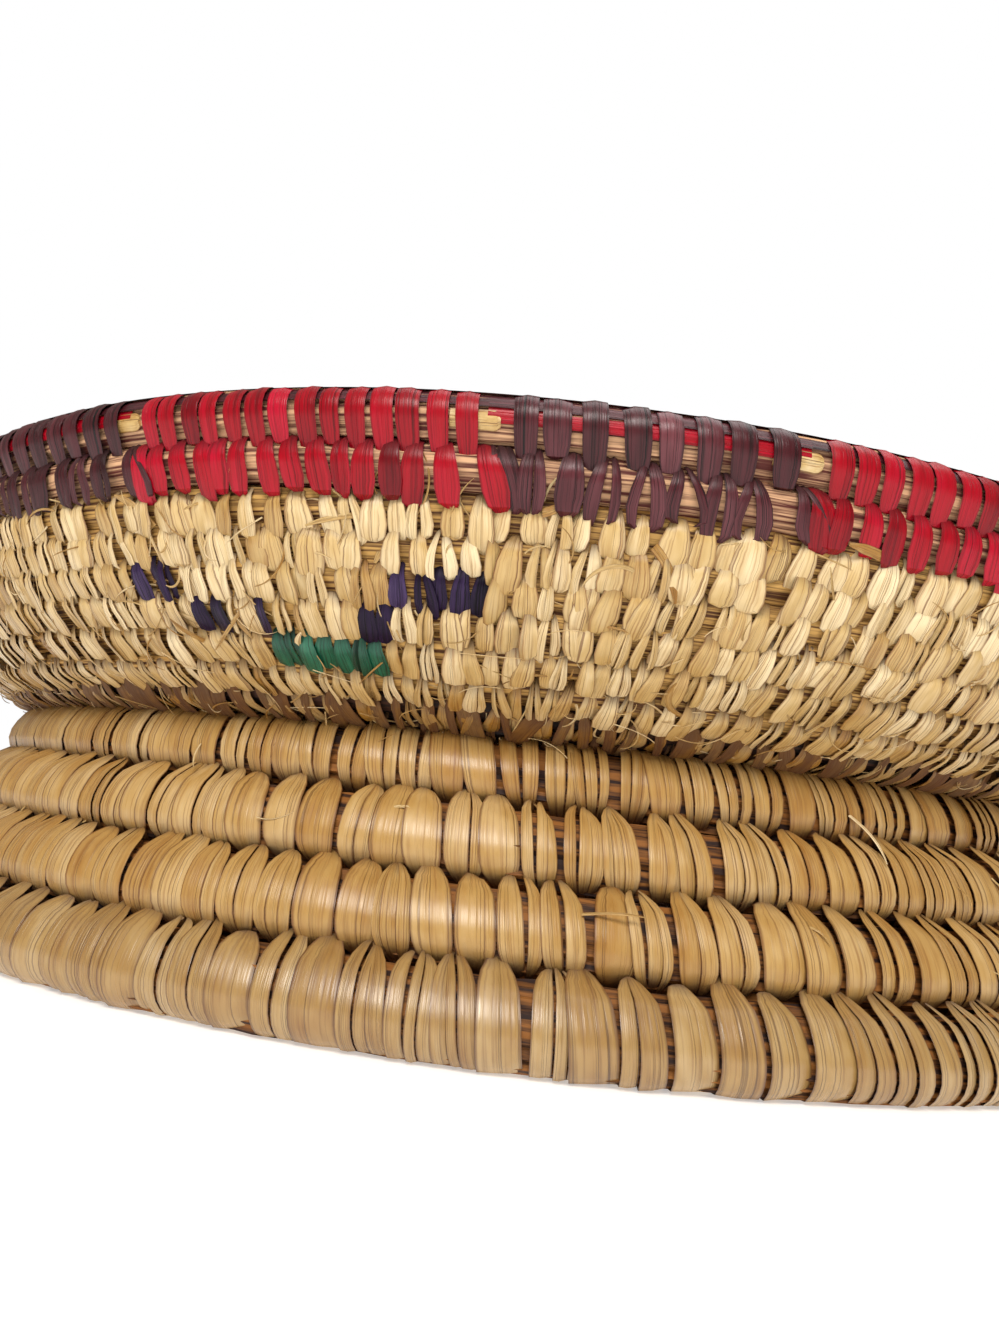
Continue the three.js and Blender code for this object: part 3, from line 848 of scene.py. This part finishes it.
# Widths, and painted crease shade with some dust, along the way: degrees, and shares of a stitch's width or of
# the full darkening
hidden_side = ((130, 0.75), (160, 0.95), (215, 0.9), (275, 0.5))
upper_tip = ((-88, 0.32), (-77, 0.55), (-53, 0.8), (-28, 0.93), (-12, 0.97))
bean_belly = ((4, 1), (32, 1), (45, 0.96), (58, 0.84), (70, 0.64), (82, 0.46), (95, 0.4))
bean_shape = upper_tip + bean_belly + hidden_side
lowest_shape = upper_tip + ((4, 0.98), (20, 1), (200, 1), (275, 0.5))
top_shape = (
    (-190, 0.85), (-100, 0.97), (-40, 1), (2, 1), (20, 0.98), (38, 0.92), (54, 0.81), (70, 0.65), (90, 0.48),
    *hidden_side,
)
# Painted shade with some dust: strips darken where they go into the upper and lower creases, and under the
# bowl (groove_shadow).
upper_crease = ((-88, 0.8), (-77, 0.45), (-58, 0.1), (-45, 0))
lower_crease = ((32, 0), (46, 0.2), (58, 0.5), (70, 0.85), (80, 1), (110, 0.6), (130, 0))
groove_shadow = ((-190, 0.9), (-100, 0.6), (-70, 0.25), (-50, 0))
both_creases = upper_crease + lower_crease
foot_look = {
    "tail": 0.8, "slant": 1.7 * MM, "lean": 0.65 * MM, "looseness": 0.35 * MM, "drift": 0.0, "spread": 0.0,
    "lift": 0.25 * MM, "unevenness": 0.1 * MM, "overlap": 0.09, "tilt": 0.06, "flare": 0.0,
    "leaf": 0.3 * MM, "cut": 0.3, "shades": 0.08, "widths": (0.95, 1.09), "splits": (0.36, 0.42, 0.22),
}
# Each row: its name, finish, way, tone, and widths and painted shade with dust along the way
foot_rows = (
    ("foot_stitches_lowest", floor_sheen_leaf, into_crease, 0.46, lowest_shape, upper_crease),
    ("foot_stitches_lower", foot_leaf, into_crease, 0.5, bean_shape, both_creases),
    ("foot_stitches_upper", foot_leaf, into_crease, 0.57, bean_shape, both_creases),
    ("foot_stitches_top", foot_leaf, over_the_top, 0.46, top_shape, groove_shadow + lower_crease),
)
rng = np.random.default_rng(21)
foot_end = FOOT_LOOPS + LAST_STITCH * tip
foot_turns = even_turns(FIRST_STITCH * tip, foot_end, FOOT_STITCHES, FOOT_UNEVENNESS, rng)
for loop, (name, material, way, tone, shape, shade_and_dust) in enumerate(foot_rows):
    in_row = np.clip(np.floor(foot_turns), 0, FOOT_LOOPS - 1) == loop
    reach = float(foot_row(np.array(loop + 0.5))[0]) + FOOT_COIL / 2
    width = FULL_TURN * reach / FOOT_STITCHES
    look = {**foot_look, "width": width, "tone": tone, "shape": shape, "shade_and_dust": shade_and_dust}
    finish_piece(sew(name, foot_frame, foot_turns[in_row], way, look, rng), material)

# %% [markdown]
# ## Stitches of the bowl
#
# The bowl was sewn from the middle outwards, so each stitch wraps its own row and its end lies over the row
# below. Most are plain straw, and the lowest ones on the wall are painted dark brown, as shade in the groove.
# Each stitch is also painted darker under the tips of the row above, as shade. A few on the wall are dyed
# purple and green, and make a small chevron, which is taken to repeat round the bowl.

# %% Sew the wall and its chevrons
WALL_PITCHES = np.array([2.6, 2.6, 2.6, 2.6, 2.7, 2.85, 3.1, 3.6]) * MM  # of each loop's stitches, going up
WALL_COVERS = (0.85, 1.0, 1.22, 1.26, 1.27, 1.25, 1.2, 1.12)  # width of a stitch for each pitch
# Painted shade of the groove: the first values of the next two tables darken the wall's two lowest loops, on
# the outside and in tone.
WALL_GROOVE_SHADE = (1.0, 0.38, 0.1, 0, 0, 0, 0, 0)  # at least, on the outside of each loop
WALL_TONES = (0.0, 0.3, 0.52, 0.58, 0.58, 0.58, 0.6, 0.62)
WALL_UNEVENNESS = 0.18  # of the stitches' places, as a share of their spacing
MISSING = 0.01  # share of the stitches
CHEVRONS = 5
CHEVRON_WIDTH = 3.2 * MM  # of a dyed stitch
roof_tile = way_round(bowl_strip, np.linspace(-10, 190, BOWL_ARC + 1), hook=0.15)
tile_shape = both_sides((-70, 0.52), (-59, 0.86), (-35, 1), (-10, 0.9), (15, 0.75), (40, 0.6), (90, 0.42))
# Painted shade: each stitch is darker where the tips of the row above lie over it, and has a thin dark outline
# at its own tip.
tile_shade = both_sides(
    (-70, 0.4), (-62, 0.1), (-50, 0), (0, 0), (20, 0.25), (40, 0.55), (65, 0.8), (90, 0.9),
)
wall_look = {
    "tail": 1.6, "slant": 0.0, "lean": 0.55 * MM, "looseness": 0.25 * MM, "drift": 1.1 * MM, "spread": 0.5,
    "lift": 0.3 * MM, "unevenness": 0.15 * MM, "overlap": 0.0, "tilt": 0.2, "flare": 0.7 * MM,
    "leaf": 0.5 * MM, "cut": 0.35, "shades": 0.12, "widths": (0.75, 1.15), "splits": (0.7, 0.24, 0.06),
    "shape": tile_shape, "shade_and_dust": tile_shade,
}
# A chevron's stitches: the wall's loop, counted from its top, and the angles from the front that they cover
PURPLE_STITCHES = (
    (3, -26.4, -22.4), (4, -21.8, -19.2), (4, -17.8, -16.6), (4, -11, -9.4),
    (3, -8.8, -7.2), (3, -6.6, -5.2), (3, -4.9, -3.6), (8, -36.5, -32.5),
)
GREEN_STITCHES = ((5, -16.8, -9.6),)


def dyed(turns, stitches):
    """Which turns lie on a chevron's stitches, on any of its repeats."""
    found = np.zeros(len(turns), bool)
    loop = WALL_TOP - np.floor(turns)
    for row, left, right in stitches:
        for repeat in range(CHEVRONS):
            start = turn_facing(left + 360 / CHEVRONS * repeat)
            found |= (loop == row) & ((turns - start) % 1 < (right - left) / 360)
    return found


rng = np.random.default_rng(31)
dyed_turns = {"purple": [], "green": []}
for loop, (pitch, cover, tone, least) in enumerate(zip(WALL_PITCHES, WALL_COVERS, WALL_TONES, WALL_GROOVE_SHADE)):
    loop_radius = bowl_profile(np.array(FLOOR_LOOPS + loop + 1.0))[0]
    start, per_turn = FLOOR_LOOPS + loop, FULL_TURN * loop_radius / pitch
    turns = even_turns(start, start + 1, per_turn, WALL_UNEVENNESS, rng)
    turns = turns[rng.random(len(turns)) > MISSING]
    is_purple = dyed(turns, PURPLE_STITCHES)
    is_green = dyed(turns, GREEN_STITCHES)
    dyed_turns["purple"].append(turns[is_purple])
    dyed_turns["green"].append(turns[is_green])
    shade_and_dust = [(degrees, max(least, share) if degrees < 90 else share) for degrees, share in tile_shade]
    look = {**wall_look, "width": cover * pitch, "tone": tone, "shade_and_dust": shade_and_dust}
    piece = sew(f"wall_stitches_{loop + 1}", bowl_frame, turns[~is_purple & ~is_green], roof_tile, look, rng)
    finish_piece(piece, natural_leaf)
chevron_look = {
    **wall_look, "width": CHEVRON_WIDTH, "widths": (0.85, 1.1), "splits": (0.85, 0.15), "tone": 0.4,
}
for name, material in (("purple", purple_leaf), ("green", green_leaf)):
    turns = np.concatenate(dyed_turns[name])
    piece = sew(f"{name}_stitches", bowl_frame, turns, roof_tile, chevron_look, rng)
    finish_piece(piece, material)

# %% Sew the floor
FLOOR_PITCH = 3.9 * MM
FIRST_FLOOR_TURN = 1.2
rng = np.random.default_rng(41)
spots = np.arange(int(math.pi * BOWL_SPACING * (FLOOR_LOOPS**2 - FIRST_FLOOR_TURN**2) / FLOOR_PITCH))
floor_turns = np.sqrt(FIRST_FLOOR_TURN**2 + spots * FLOOR_PITCH / (math.pi * BOWL_SPACING))
floor_look = {**wall_look, "splits": (0.8, 0.2), "width": FLOOR_PITCH, "tone": 0.5}
half_way = FLOOR_LOOPS / math.sqrt(2)  # half of the stitches lie inside this turn
for name, chosen in (("inner", floor_turns < half_way), ("outer", floor_turns >= half_way)):
    piece = sew(f"floor_stitches_{name}", bowl_frame, floor_turns[chosen], roof_tile, floor_look, rng)
    finish_piece(piece, natural_leaf)

# %% [markdown]
# ## The dyed rim
#
# The last two loops are thicker and wrapped in red and plum in turn. Strips of the top loop are bands over
# the edge with the grass showing between them, and they go on over the coil's tapered tail. Strips of the
# loop under it are tongues that reach over the first plain row, with a slanted one at each change of colour.
# The dyed strip that isn't in use runs along under the other's bands, and shows in their gaps. Where a colour
# ends, the end of a plain strip is tucked under the bands.

# %% Sew the rim
RED_PITCH = math.radians(1.45)
PLUM_PITCH = math.radians(1.8)
RED_WIDTH = 2.9 * MM
PLUM_WIDTH = 3.4 * MM
TONGUE_COVER = 1.18  # width of a tongue for each width of a band
red_share = RED_SPAN / FULL_TURN
plum_share = 1 / WRAP_REPEATS - red_share
LATE_RED = math.radians(2.2) / FULL_TURN  # on every other repeat red starts this much later
EARLY_RED = math.radians(1.2) / FULL_TURN  # and on the others this much earlier
BAND_UNEVENNESS = 0.1  # of the bands' places, as a share of their spacing
PLUM_MARGINS = np.radians([1.6, 1.6]) / FULL_TURN  # from a colour's ends to its first and last band
RED_MARGINS = np.radians([1.3, 1.3]) / FULL_TURN
END_PLACES = np.radians([0.4, -0.3]) / FULL_TURN  # slanted strips, from the ends of their colour
END_SLANT = 3.2 * MM
over_the_edge = way_round(foot_strip, np.linspace(-20, 200, FOOT_ARC + 1), hook=0.3)
over_the_row = way_round(foot_strip, np.linspace(-10, 190, FOOT_ARC + 1), hook=0.2)
band_shape = both_sides((-80, 0.4), (-69, 0.75), (-45, 0.93), (-20, 1))
tongue_shape = both_sides((-70, 0.42), (-59, 0.8), (-35, 1), (-10, 0.95), (20, 0.82), (50, 0.62), (90, 0.44))
clean = both_sides((-80, 0.1))
band_look = {
    "tail": 1.2, "slant": 0.8 * MM, "lean": 0.25 * MM, "looseness": 0.05 * MM, "drift": 0.0, "spread": 0.1,
    "lift": 0.6 * MM, "unevenness": 0.06 * MM, "overlap": 0.0, "tilt": 0.06, "flare": 0.0,
    "leaf": 0.45 * MM, "cut": 0.2, "tone": 0.5, "shades": 0.13, "widths": (0.92, 1.1), "splits": (1.0,),
    "shape": band_shape, "shade_and_dust": clean,
}
tongue_look = {
    **band_look, "tail": 1.4, "spread": 1.6, "cut": 0.3, "shape": tongue_shape, "shade_and_dust": tile_shade,
    "lean": 0.5 * MM, "looseness": 0.4 * MM, "drift": 0.5 * MM, "flare": 0.4 * MM,
}


def spans_of(name):
    """First and last turn of a colour on each repeat, counted from the start of a loop."""
    starts = np.arange(WRAP_REPEATS) / WRAP_REPEATS
    changes = starts + plum_share + np.where(np.arange(WRAP_REPEATS) % 2, -EARLY_RED, LATE_RED)
    ends = starts + 1 / WRAP_REPEATS
    return np.stack([starts, changes] if name == "plum" else [changes, ends], 1)


def band_turns(spans, margins, pitch, shift, rng):
    """Turns of the bands of one colour. A shift of a half puts them between those of the other row."""
    turns = []
    for first, last in spans + margins * (1, -1):
        count = round((last - first) * FULL_TURN / pitch) + 1
        spots = np.linspace(first, last, count) - shift * pitch / FULL_TURN
        turns.append(spots + rng.uniform(-BAND_UNEVENNESS, BAND_UNEVENNESS, count) * pitch / FULL_TURN)
    return np.concatenate(turns)


rng = np.random.default_rng(51)
dyes = (
    ("plum", PLUM_MARGINS, PLUM_PITCH, PLUM_WIDTH, plum_leaf, (0.15, 0.85)),
    ("red", RED_MARGINS, RED_PITCH, RED_WIDTH, red_leaf, (0.9, 0.1)),
)
for name, margins, pitch, width, material, splits in dyes:
    wraps = [f"rim_wrap_{name}_{number + 1}" for number in range(WRAP_REPEATS)]
    spans = spans_of(name)
    bands = RIM_TOP - 1 + band_turns(spans, margins, pitch, 0, rng)
    bands = np.concatenate([bands, bands[bands < RIM_TOP - 1 + tip] + 1])
    piece = sew(f"rim_{name}_top", bowl_frame, bands, over_the_edge, {**band_look, "width": width}, rng)
    finish_piece(piece, material, wraps)
    tongues = WALL_TOP + band_turns(spans, margins, pitch, 0.5, rng)
    ends = WALL_TOP + (spans + END_PLACES).ravel()
    slants = np.repeat([band_look["slant"], END_SLANT], [len(tongues), len(ends)])
    look = {**tongue_look, "width": TONGUE_COVER * width, "splits": splits, "slant": slants}
    piece = sew(f"rim_{name}_low", bowl_frame, np.concatenate([tongues, ends]), over_the_row, look, rng)
    finish_piece(piece, material)


# %% Strips along the rim
STRAND_LEAF = 0.5 * MM
STUB_LEAF = 0.9 * MM
STUB_LENGTH = 6.5 * MM
STUB_OVERHANG = 1.7 * MM  # past the end of its colour
# Widths along a strip: shares of its length, and of its full width
full_width = ((0, 1), (1, 1))
rounded_tip = ((0, 0.9), (0.86, 1), (0.94, 0.9), (1, 0.6))
along_strip = np.linspace(0, 1, bowl_strip["step"].max() + 1)  # places of a strip's steps on its length


def flat_strips(name, line, across, normal, widths, shape, leaf, tone, shade_and_dust=0.0):
    """Strips on lines, with one width for all or one for each, which the shape changes along them."""
    tapered = np.full(len(line), widths)[:, None] * np.interp(along_strip, *np.transpose(shape))
    shade_and_dust_steps = np.full(len(along_strip), shade_and_dust)
    return strips_piece(name, bowl_strip, line, across, normal, tapered, leaf, tone, shade_and_dust_steps)


def strips_along(name, spans, place, width, leaf, lift, shape, tone):
    """Strips that run along the rim, each over a span of turns, at a place round the coil in degrees. Place
    and lift are single values or one for each strip."""
    turns = spans[:, :1] + (spans[:, 1:] - spans[:, :1]) * along_strip
    frames = [part.reshape(*turns.shape, -1) for part in bowl_frame(turns.ravel())]
    middle, outward, onward, _, size = frames
    angle = np.radians(np.reshape(place, (-1, 1, 1)))
    normal = np.cos(angle) * outward + np.sin(angle) * onward
    across = np.cos(angle) * onward - np.sin(angle) * outward
    line = middle + (size + np.reshape(lift, (-1, 1, 1))) * normal
    return flat_strips(name, line, across, normal, width, shape, leaf, tone)


rng = np.random.default_rng(61)
plum_spans, red_spans = (RIM_TOP - 1 + spans_of(name) for name in ("plum", "red"))
both_spans = np.concatenate([plum_spans, red_spans])
tones = rng.uniform(0.3, 0.6, 2 * WRAP_REPEATS)
strand = strips_along(
    "red_strands", plum_spans, place=6, width=2.1 * MM, leaf=STRAND_LEAF, lift=-0.1 * MM,
    shape=full_width, tone=tones[:WRAP_REPEATS],
)
finish_piece(strand, red_leaf)
places = np.repeat([44, 84], len(both_spans))
lifts = np.repeat([0.1 * MM, 0.5 * MM], len(both_spans))
strand = strips_along(
    "plum_strands", np.tile(both_spans, (2, 1)), places, width=2.6 * MM, leaf=STRAND_LEAF, lift=lifts,
    shape=full_width, tone=np.tile(tones, 2),
)
finish_piece(strand, plum_leaf)
stub_turn = STUB_LENGTH / (FULL_TURN * top_loop_radius)
stub_ends = both_spans[:, 1] + stub_turn * STUB_OVERHANG / STUB_LENGTH
stubs = strips_along(
    "strip_ends", np.stack([stub_ends - stub_turn, stub_ends], 1), place=-8, width=2.7 * MM, leaf=STUB_LEAF,
    lift=-0.2 * MM, shape=rounded_tip, tone=tones - 0.1,
)
finish_piece(stubs, natural_leaf)

# %% [markdown]
# ## The groove, the knot and loose fibres
#
# Short strips lash the bowl to the foot. They come from between the wall's lowest loops and go down behind
# the foot's top row. A knot fills the middle of the floor. Broken fibres stick out all over the wall, and a
# few on the foot.

# %% Lash the foot to the bowl
BENT_LEAF = 0.4 * MM
ROUNDING = 1e-9
LASHING_PITCH = 3.6 * MM
LASHING_WIDTHS = (1.2, 3.6)  # millimetres
LASHING_UNEVENNESS = 0.3  # of the lashings' places, as a share of their spacing
LASHING_SLANT = 0.3  # the same, of how far they slant from one anchor to the next
# Painted shade of the groove: the lashings are darkened almost fully.
LASHING_GROOVE_SHADE = 0.95
CAD_LASHINGS = 20
# Each anchor: the wall's loop, the place round its coil in degrees, the lift in mm and the share of the slant
LASHING_ANCHORS = ((2, -45, 0.5, -1), (1, 5, 0.8, 0), (0, 5, 0.9, 1), (0, -75, 0.4, 2))
bent_shape = ((0, 0.5), (0.12, 1), (0.9, 0.9), (1, 0.4))


def bent_strips(name, anchors, sideways, widths, tone, bulge, shade_and_dust=0.0):
    """Strips through a few points each, whose domed side faces along the bulge."""
    steps = len(along_strip)
    spots = np.linspace(0, anchors.shape[1] - 1, steps)
    low = np.minimum(spots.astype(int), anchors.shape[1] - 2)
    share = (spots - low)[None, :, None]
    line = anchors[:, low] * (1 - share) + anchors[:, low + 1] * share
    smooth = (np.roll(line, 1, 1) + line + np.roll(line, -1, 1)) / 3
    line[:, 1:-1] = smooth[:, 1:-1]
    across = np.repeat(sideways[:, None], steps, 1)
    normal = np.cross(across, np.gradient(line, axis=1))
    normal /= np.linalg.norm(normal, axis=2, keepdims=True)
    faces_bulge = (normal * bulge[:, None]).sum(2, keepdims=True) > -ROUNDING
    normal *= np.where(faces_bulge, 1, -1)
    return flat_strips(name, line, across, normal, widths, bent_shape, BENT_LEAF, tone, shade_and_dust)


rng = np.random.default_rng(71)
count = round(FULL_TURN * first_loop_radius / LASHING_PITCH)
lashing_turns = (np.arange(count) + rng.uniform(-LASHING_UNEVENNESS, LASHING_UNEVENNESS, count)) / count
slant = rng.normal(0, LASHING_SLANT, count) / count
anchors = []
for loop, place, lift, shift in LASHING_ANCHORS:
    turns = FLOOR_LOOPS + loop + lashing_turns + shift * slant
    middle, outward, onward, sideways, size = bowl_frame(turns)
    direction = math.cos(math.radians(place)) * outward + math.sin(math.radians(place)) * onward
    anchors.append(middle + (size + lift * MM)[:, None] * direction)
widths = rng.uniform(*LASHING_WIDTHS, count) * MM
# Dark tones: painted shade of the groove.
tones = rng.uniform(0.0, 0.3, count)
lashings = bent_strips("lashings", np.stack(anchors, 1), sideways, widths, tones, outward, LASHING_GROOVE_SHADE)
finish_piece(lashings, natural_leaf, [f"lashing_{n + 1}" for n in range(CAD_LASHINGS)])

# %% Tie the start knot
KNOT_STRIPS = 9
KNOT_WIDTH = 3 * MM  # of a strip
KNOT_RADIUS = 5.2 * MM
KNOT_RISE = 2.0 * MM
KNOT_LAYER = 0.05 * MM  # each strip lies this much over the one before
knot_shape = ((-1.0, -0.6), (-0.8, 0.5), (-0.4, 0.9), (0.0, 1.0), (0.4, 0.9), (0.8, 0.5), (1.0, -0.6))
angles = np.arange(KNOT_STRIPS) / KNOT_STRIPS * math.pi
flat = np.zeros(KNOT_STRIPS)
ends = np.stack([np.cos(angles), np.sin(angles), flat], 1)
sides = np.stack([-np.sin(angles), np.cos(angles), flat], 1)
upward = np.tile([0.0, 0.0, 1.0], (KNOT_STRIPS, 1))
layers = np.arange(KNOT_STRIPS)[:, None] * KNOT_LAYER
knot_middle = np.array([0, 0, floor_height])
halves = []
for side in (1, -1):
    halves.append(np.stack([
        knot_middle + x * KNOT_RADIUS * ends + side * (z * KNOT_RISE + layers) * upward for x, z in knot_shape
    ], 1))
rng = np.random.default_rng(81)
tones = rng.uniform(0.3, 0.7, 2 * KNOT_STRIPS)
both_ways = np.concatenate([upward, -upward])
knot = bent_strips(
    "start_knot_strips", np.concatenate(halves), np.tile(sides, (2, 1)), KNOT_WIDTH, tones, both_ways,
)
finish_piece(knot, natural_leaf, ["start_knot"])

# %% Loose fibres
# Fibres and broad scraps on the wall and fibres on the foot: how many, and their sizes in millimetres
FIBRE_COUNTS = (1300, 160, 90)
FIBRE_LENGTHS = ((2, 4, 3), (9, 9, 10))  # shortest and longest
FIBRE_WIDTHS = ((0.12, 0.6, 0.15), (0.4, 1.5, 0.7))  # thinnest and widest
FIBRE_LIFTS = (1.5, 1.4, 1.8)  # at most
FIBRE_LEAF = 0.15 * MM
FIBRE_ROOT = 0.4 * MM  # above the coil's side
FIBRE_PLACES = (-70, 60)  # degrees round the coil
FIBRE_CURL = 1.3
FIBRE_BEND = 2.2  # part of a wave that a fibre rises and sinks by
fibre_shape = ((0, 1), (0.7, 0.9), (1, 0.3))


def loose_fibres(name, rows, lengths, widths, lift, rng):
    """Thin curved strips that start on the outer side of the coils and stick out a little."""
    count, steps = len(lengths), len(along_strip) - 1
    middle, outward, onward, sideways, size = (part[:, None] for part in rows)
    start = np.radians(rng.uniform(*FIBRE_PLACES, count))[:, None, None]
    root = middle + (size[..., None] + FIBRE_ROOT) * (np.cos(start) * outward + np.sin(start) * onward)
    heading = rng.uniform(0, FULL_TURN, count)[:, None]
    heading = heading + rng.normal(0, FIBRE_CURL, count)[:, None] * along_strip
    side_step = np.cumsum(np.cos(heading), 1) / steps
    on_step = np.cumsum(np.sin(heading), 1) / steps
    rise = (lift * rng.random(count) ** 2)[:, None] * np.sin(np.linspace(0, FIBRE_BEND, steps + 1))
    line = root + lengths[:, None, None] * (side_step[..., None] * sideways + on_step[..., None] * onward)
    line = line + rise[..., None] * outward
    across = np.sin(heading)[..., None] * sideways - np.cos(heading)[..., None] * onward
    normal = np.repeat(outward, steps + 1, 1)
    tone = rng.uniform(0.1, 0.8, count)
    return flat_strips(name, line, across, normal, widths, fibre_shape, FIBRE_LEAF, tone)


rng = np.random.default_rng(91)
fibres, scraps, foot_fibres = (rng.random(count) for count in FIBRE_COUNTS)
fibre_turns = FLOOR_LOOPS + WALL_LOOPS * fibres**1.3  # more of them low on the wall
scrap_turns = FLOOR_LOOPS + 1 + (WALL_LOOPS - 1) * scraps
lengths = rng.uniform(*(np.repeat(limits, FIBRE_COUNTS) * MM for limits in FIBRE_LENGTHS))
widths = rng.uniform(*(np.repeat(limits, FIBRE_COUNTS) * MM for limits in FIBRE_WIDTHS))
lifts = np.repeat(FIBRE_LIFTS, FIBRE_COUNTS) * MM
on_bowl = bowl_frame(np.concatenate([fibre_turns, scrap_turns]))
on_foot = foot_frame(1 + (FOOT_LOOPS - 1) * foot_fibres)
rows = [np.concatenate(parts) for parts in zip(on_bowl, on_foot)]
piece = loose_fibres("loose_fibres", rows, lengths, widths, lifts, rng)
finish_piece(piece, natural_leaf)

# %% [markdown]
# ## Studio
#
# The object stands on a plain pale floor under soft light from above and in front. The floor throws light
# back up, which brightens the lowest row of the foot.

# %% Stage and light
FLOOR_SIZE = 6.0
FLOOR_DROP = 0.05 * MM  # the basket stands this much above the floor
PAPER_LOOK = {
    "Base Color": (0.86, 0.86, 0.86, 1), "Roughness": 0.9,
    "Emission Color": (1, 1, 1, 1), "Emission Strength": 0.4,
}
bpy.ops.object.select_all(action="DESELECT")
bpy.ops.mesh.primitive_plane_add(size=FLOOR_SIZE, location=(0, 0, -FLOOR_DROP))
floor = bpy.context.object
floor.name = "floor"
paper = bpy.data.materials.new("paper")
paper.use_nodes = True
paper_shader = paper.node_tree.nodes["Principled BSDF"]
for socket, value in PAPER_LOOK.items():
    paper_shader.inputs[socket].default_value = value
floor.data.materials.append(paper)

world = bpy.data.worlds.new("studio")
bpy.context.scene.world = world
world.use_nodes = True
sky = world.node_tree
sky.nodes.clear()
lit = add_node(sky, "ShaderNodeBackground", {}, {"Color": (1, 0.94, 0.84, 1), "Strength": 0.28})
seen = add_node(sky, "ShaderNodeBackground", {}, {"Color": (1, 1, 1, 1), "Strength": 1.0})
ray = add_node(sky, "ShaderNodeLightPath", {}, {})
choice = {0: ray.outputs["Is Camera Ray"], 1: lit.outputs[0], 2: seen.outputs[0]}
either = add_node(sky, "ShaderNodeMixShader", {}, choice)
add_node(sky, "ShaderNodeOutputWorld", {}, {"Surface": either.outputs[0]})


def soft_light(name, place, size, power, colour):
    """A square softbox that faces the middle of the bowl."""
    lamp = bpy.data.lights.new(name, "AREA")
    lamp.size = size
    lamp.energy = power
    lamp.color = colour
    holder = bpy.data.objects.new(name, lamp)
    bpy.context.scene.collection.objects.link(holder)
    holder.location = place
    holder.rotation_euler = holder.location.to_track_quat("Z", "Y").to_euler()


soft_light("key_light", place=(-0.07, -0.85, 0.75), size=0.4, power=8.8, colour=(1, 0.97, 0.93))
soft_light("top_light", place=(0.2, 0.1, 1.1), size=0.9, power=5.0, colour=(1, 1, 1))
bpy.context.scene.view_settings.view_transform = "Standard"
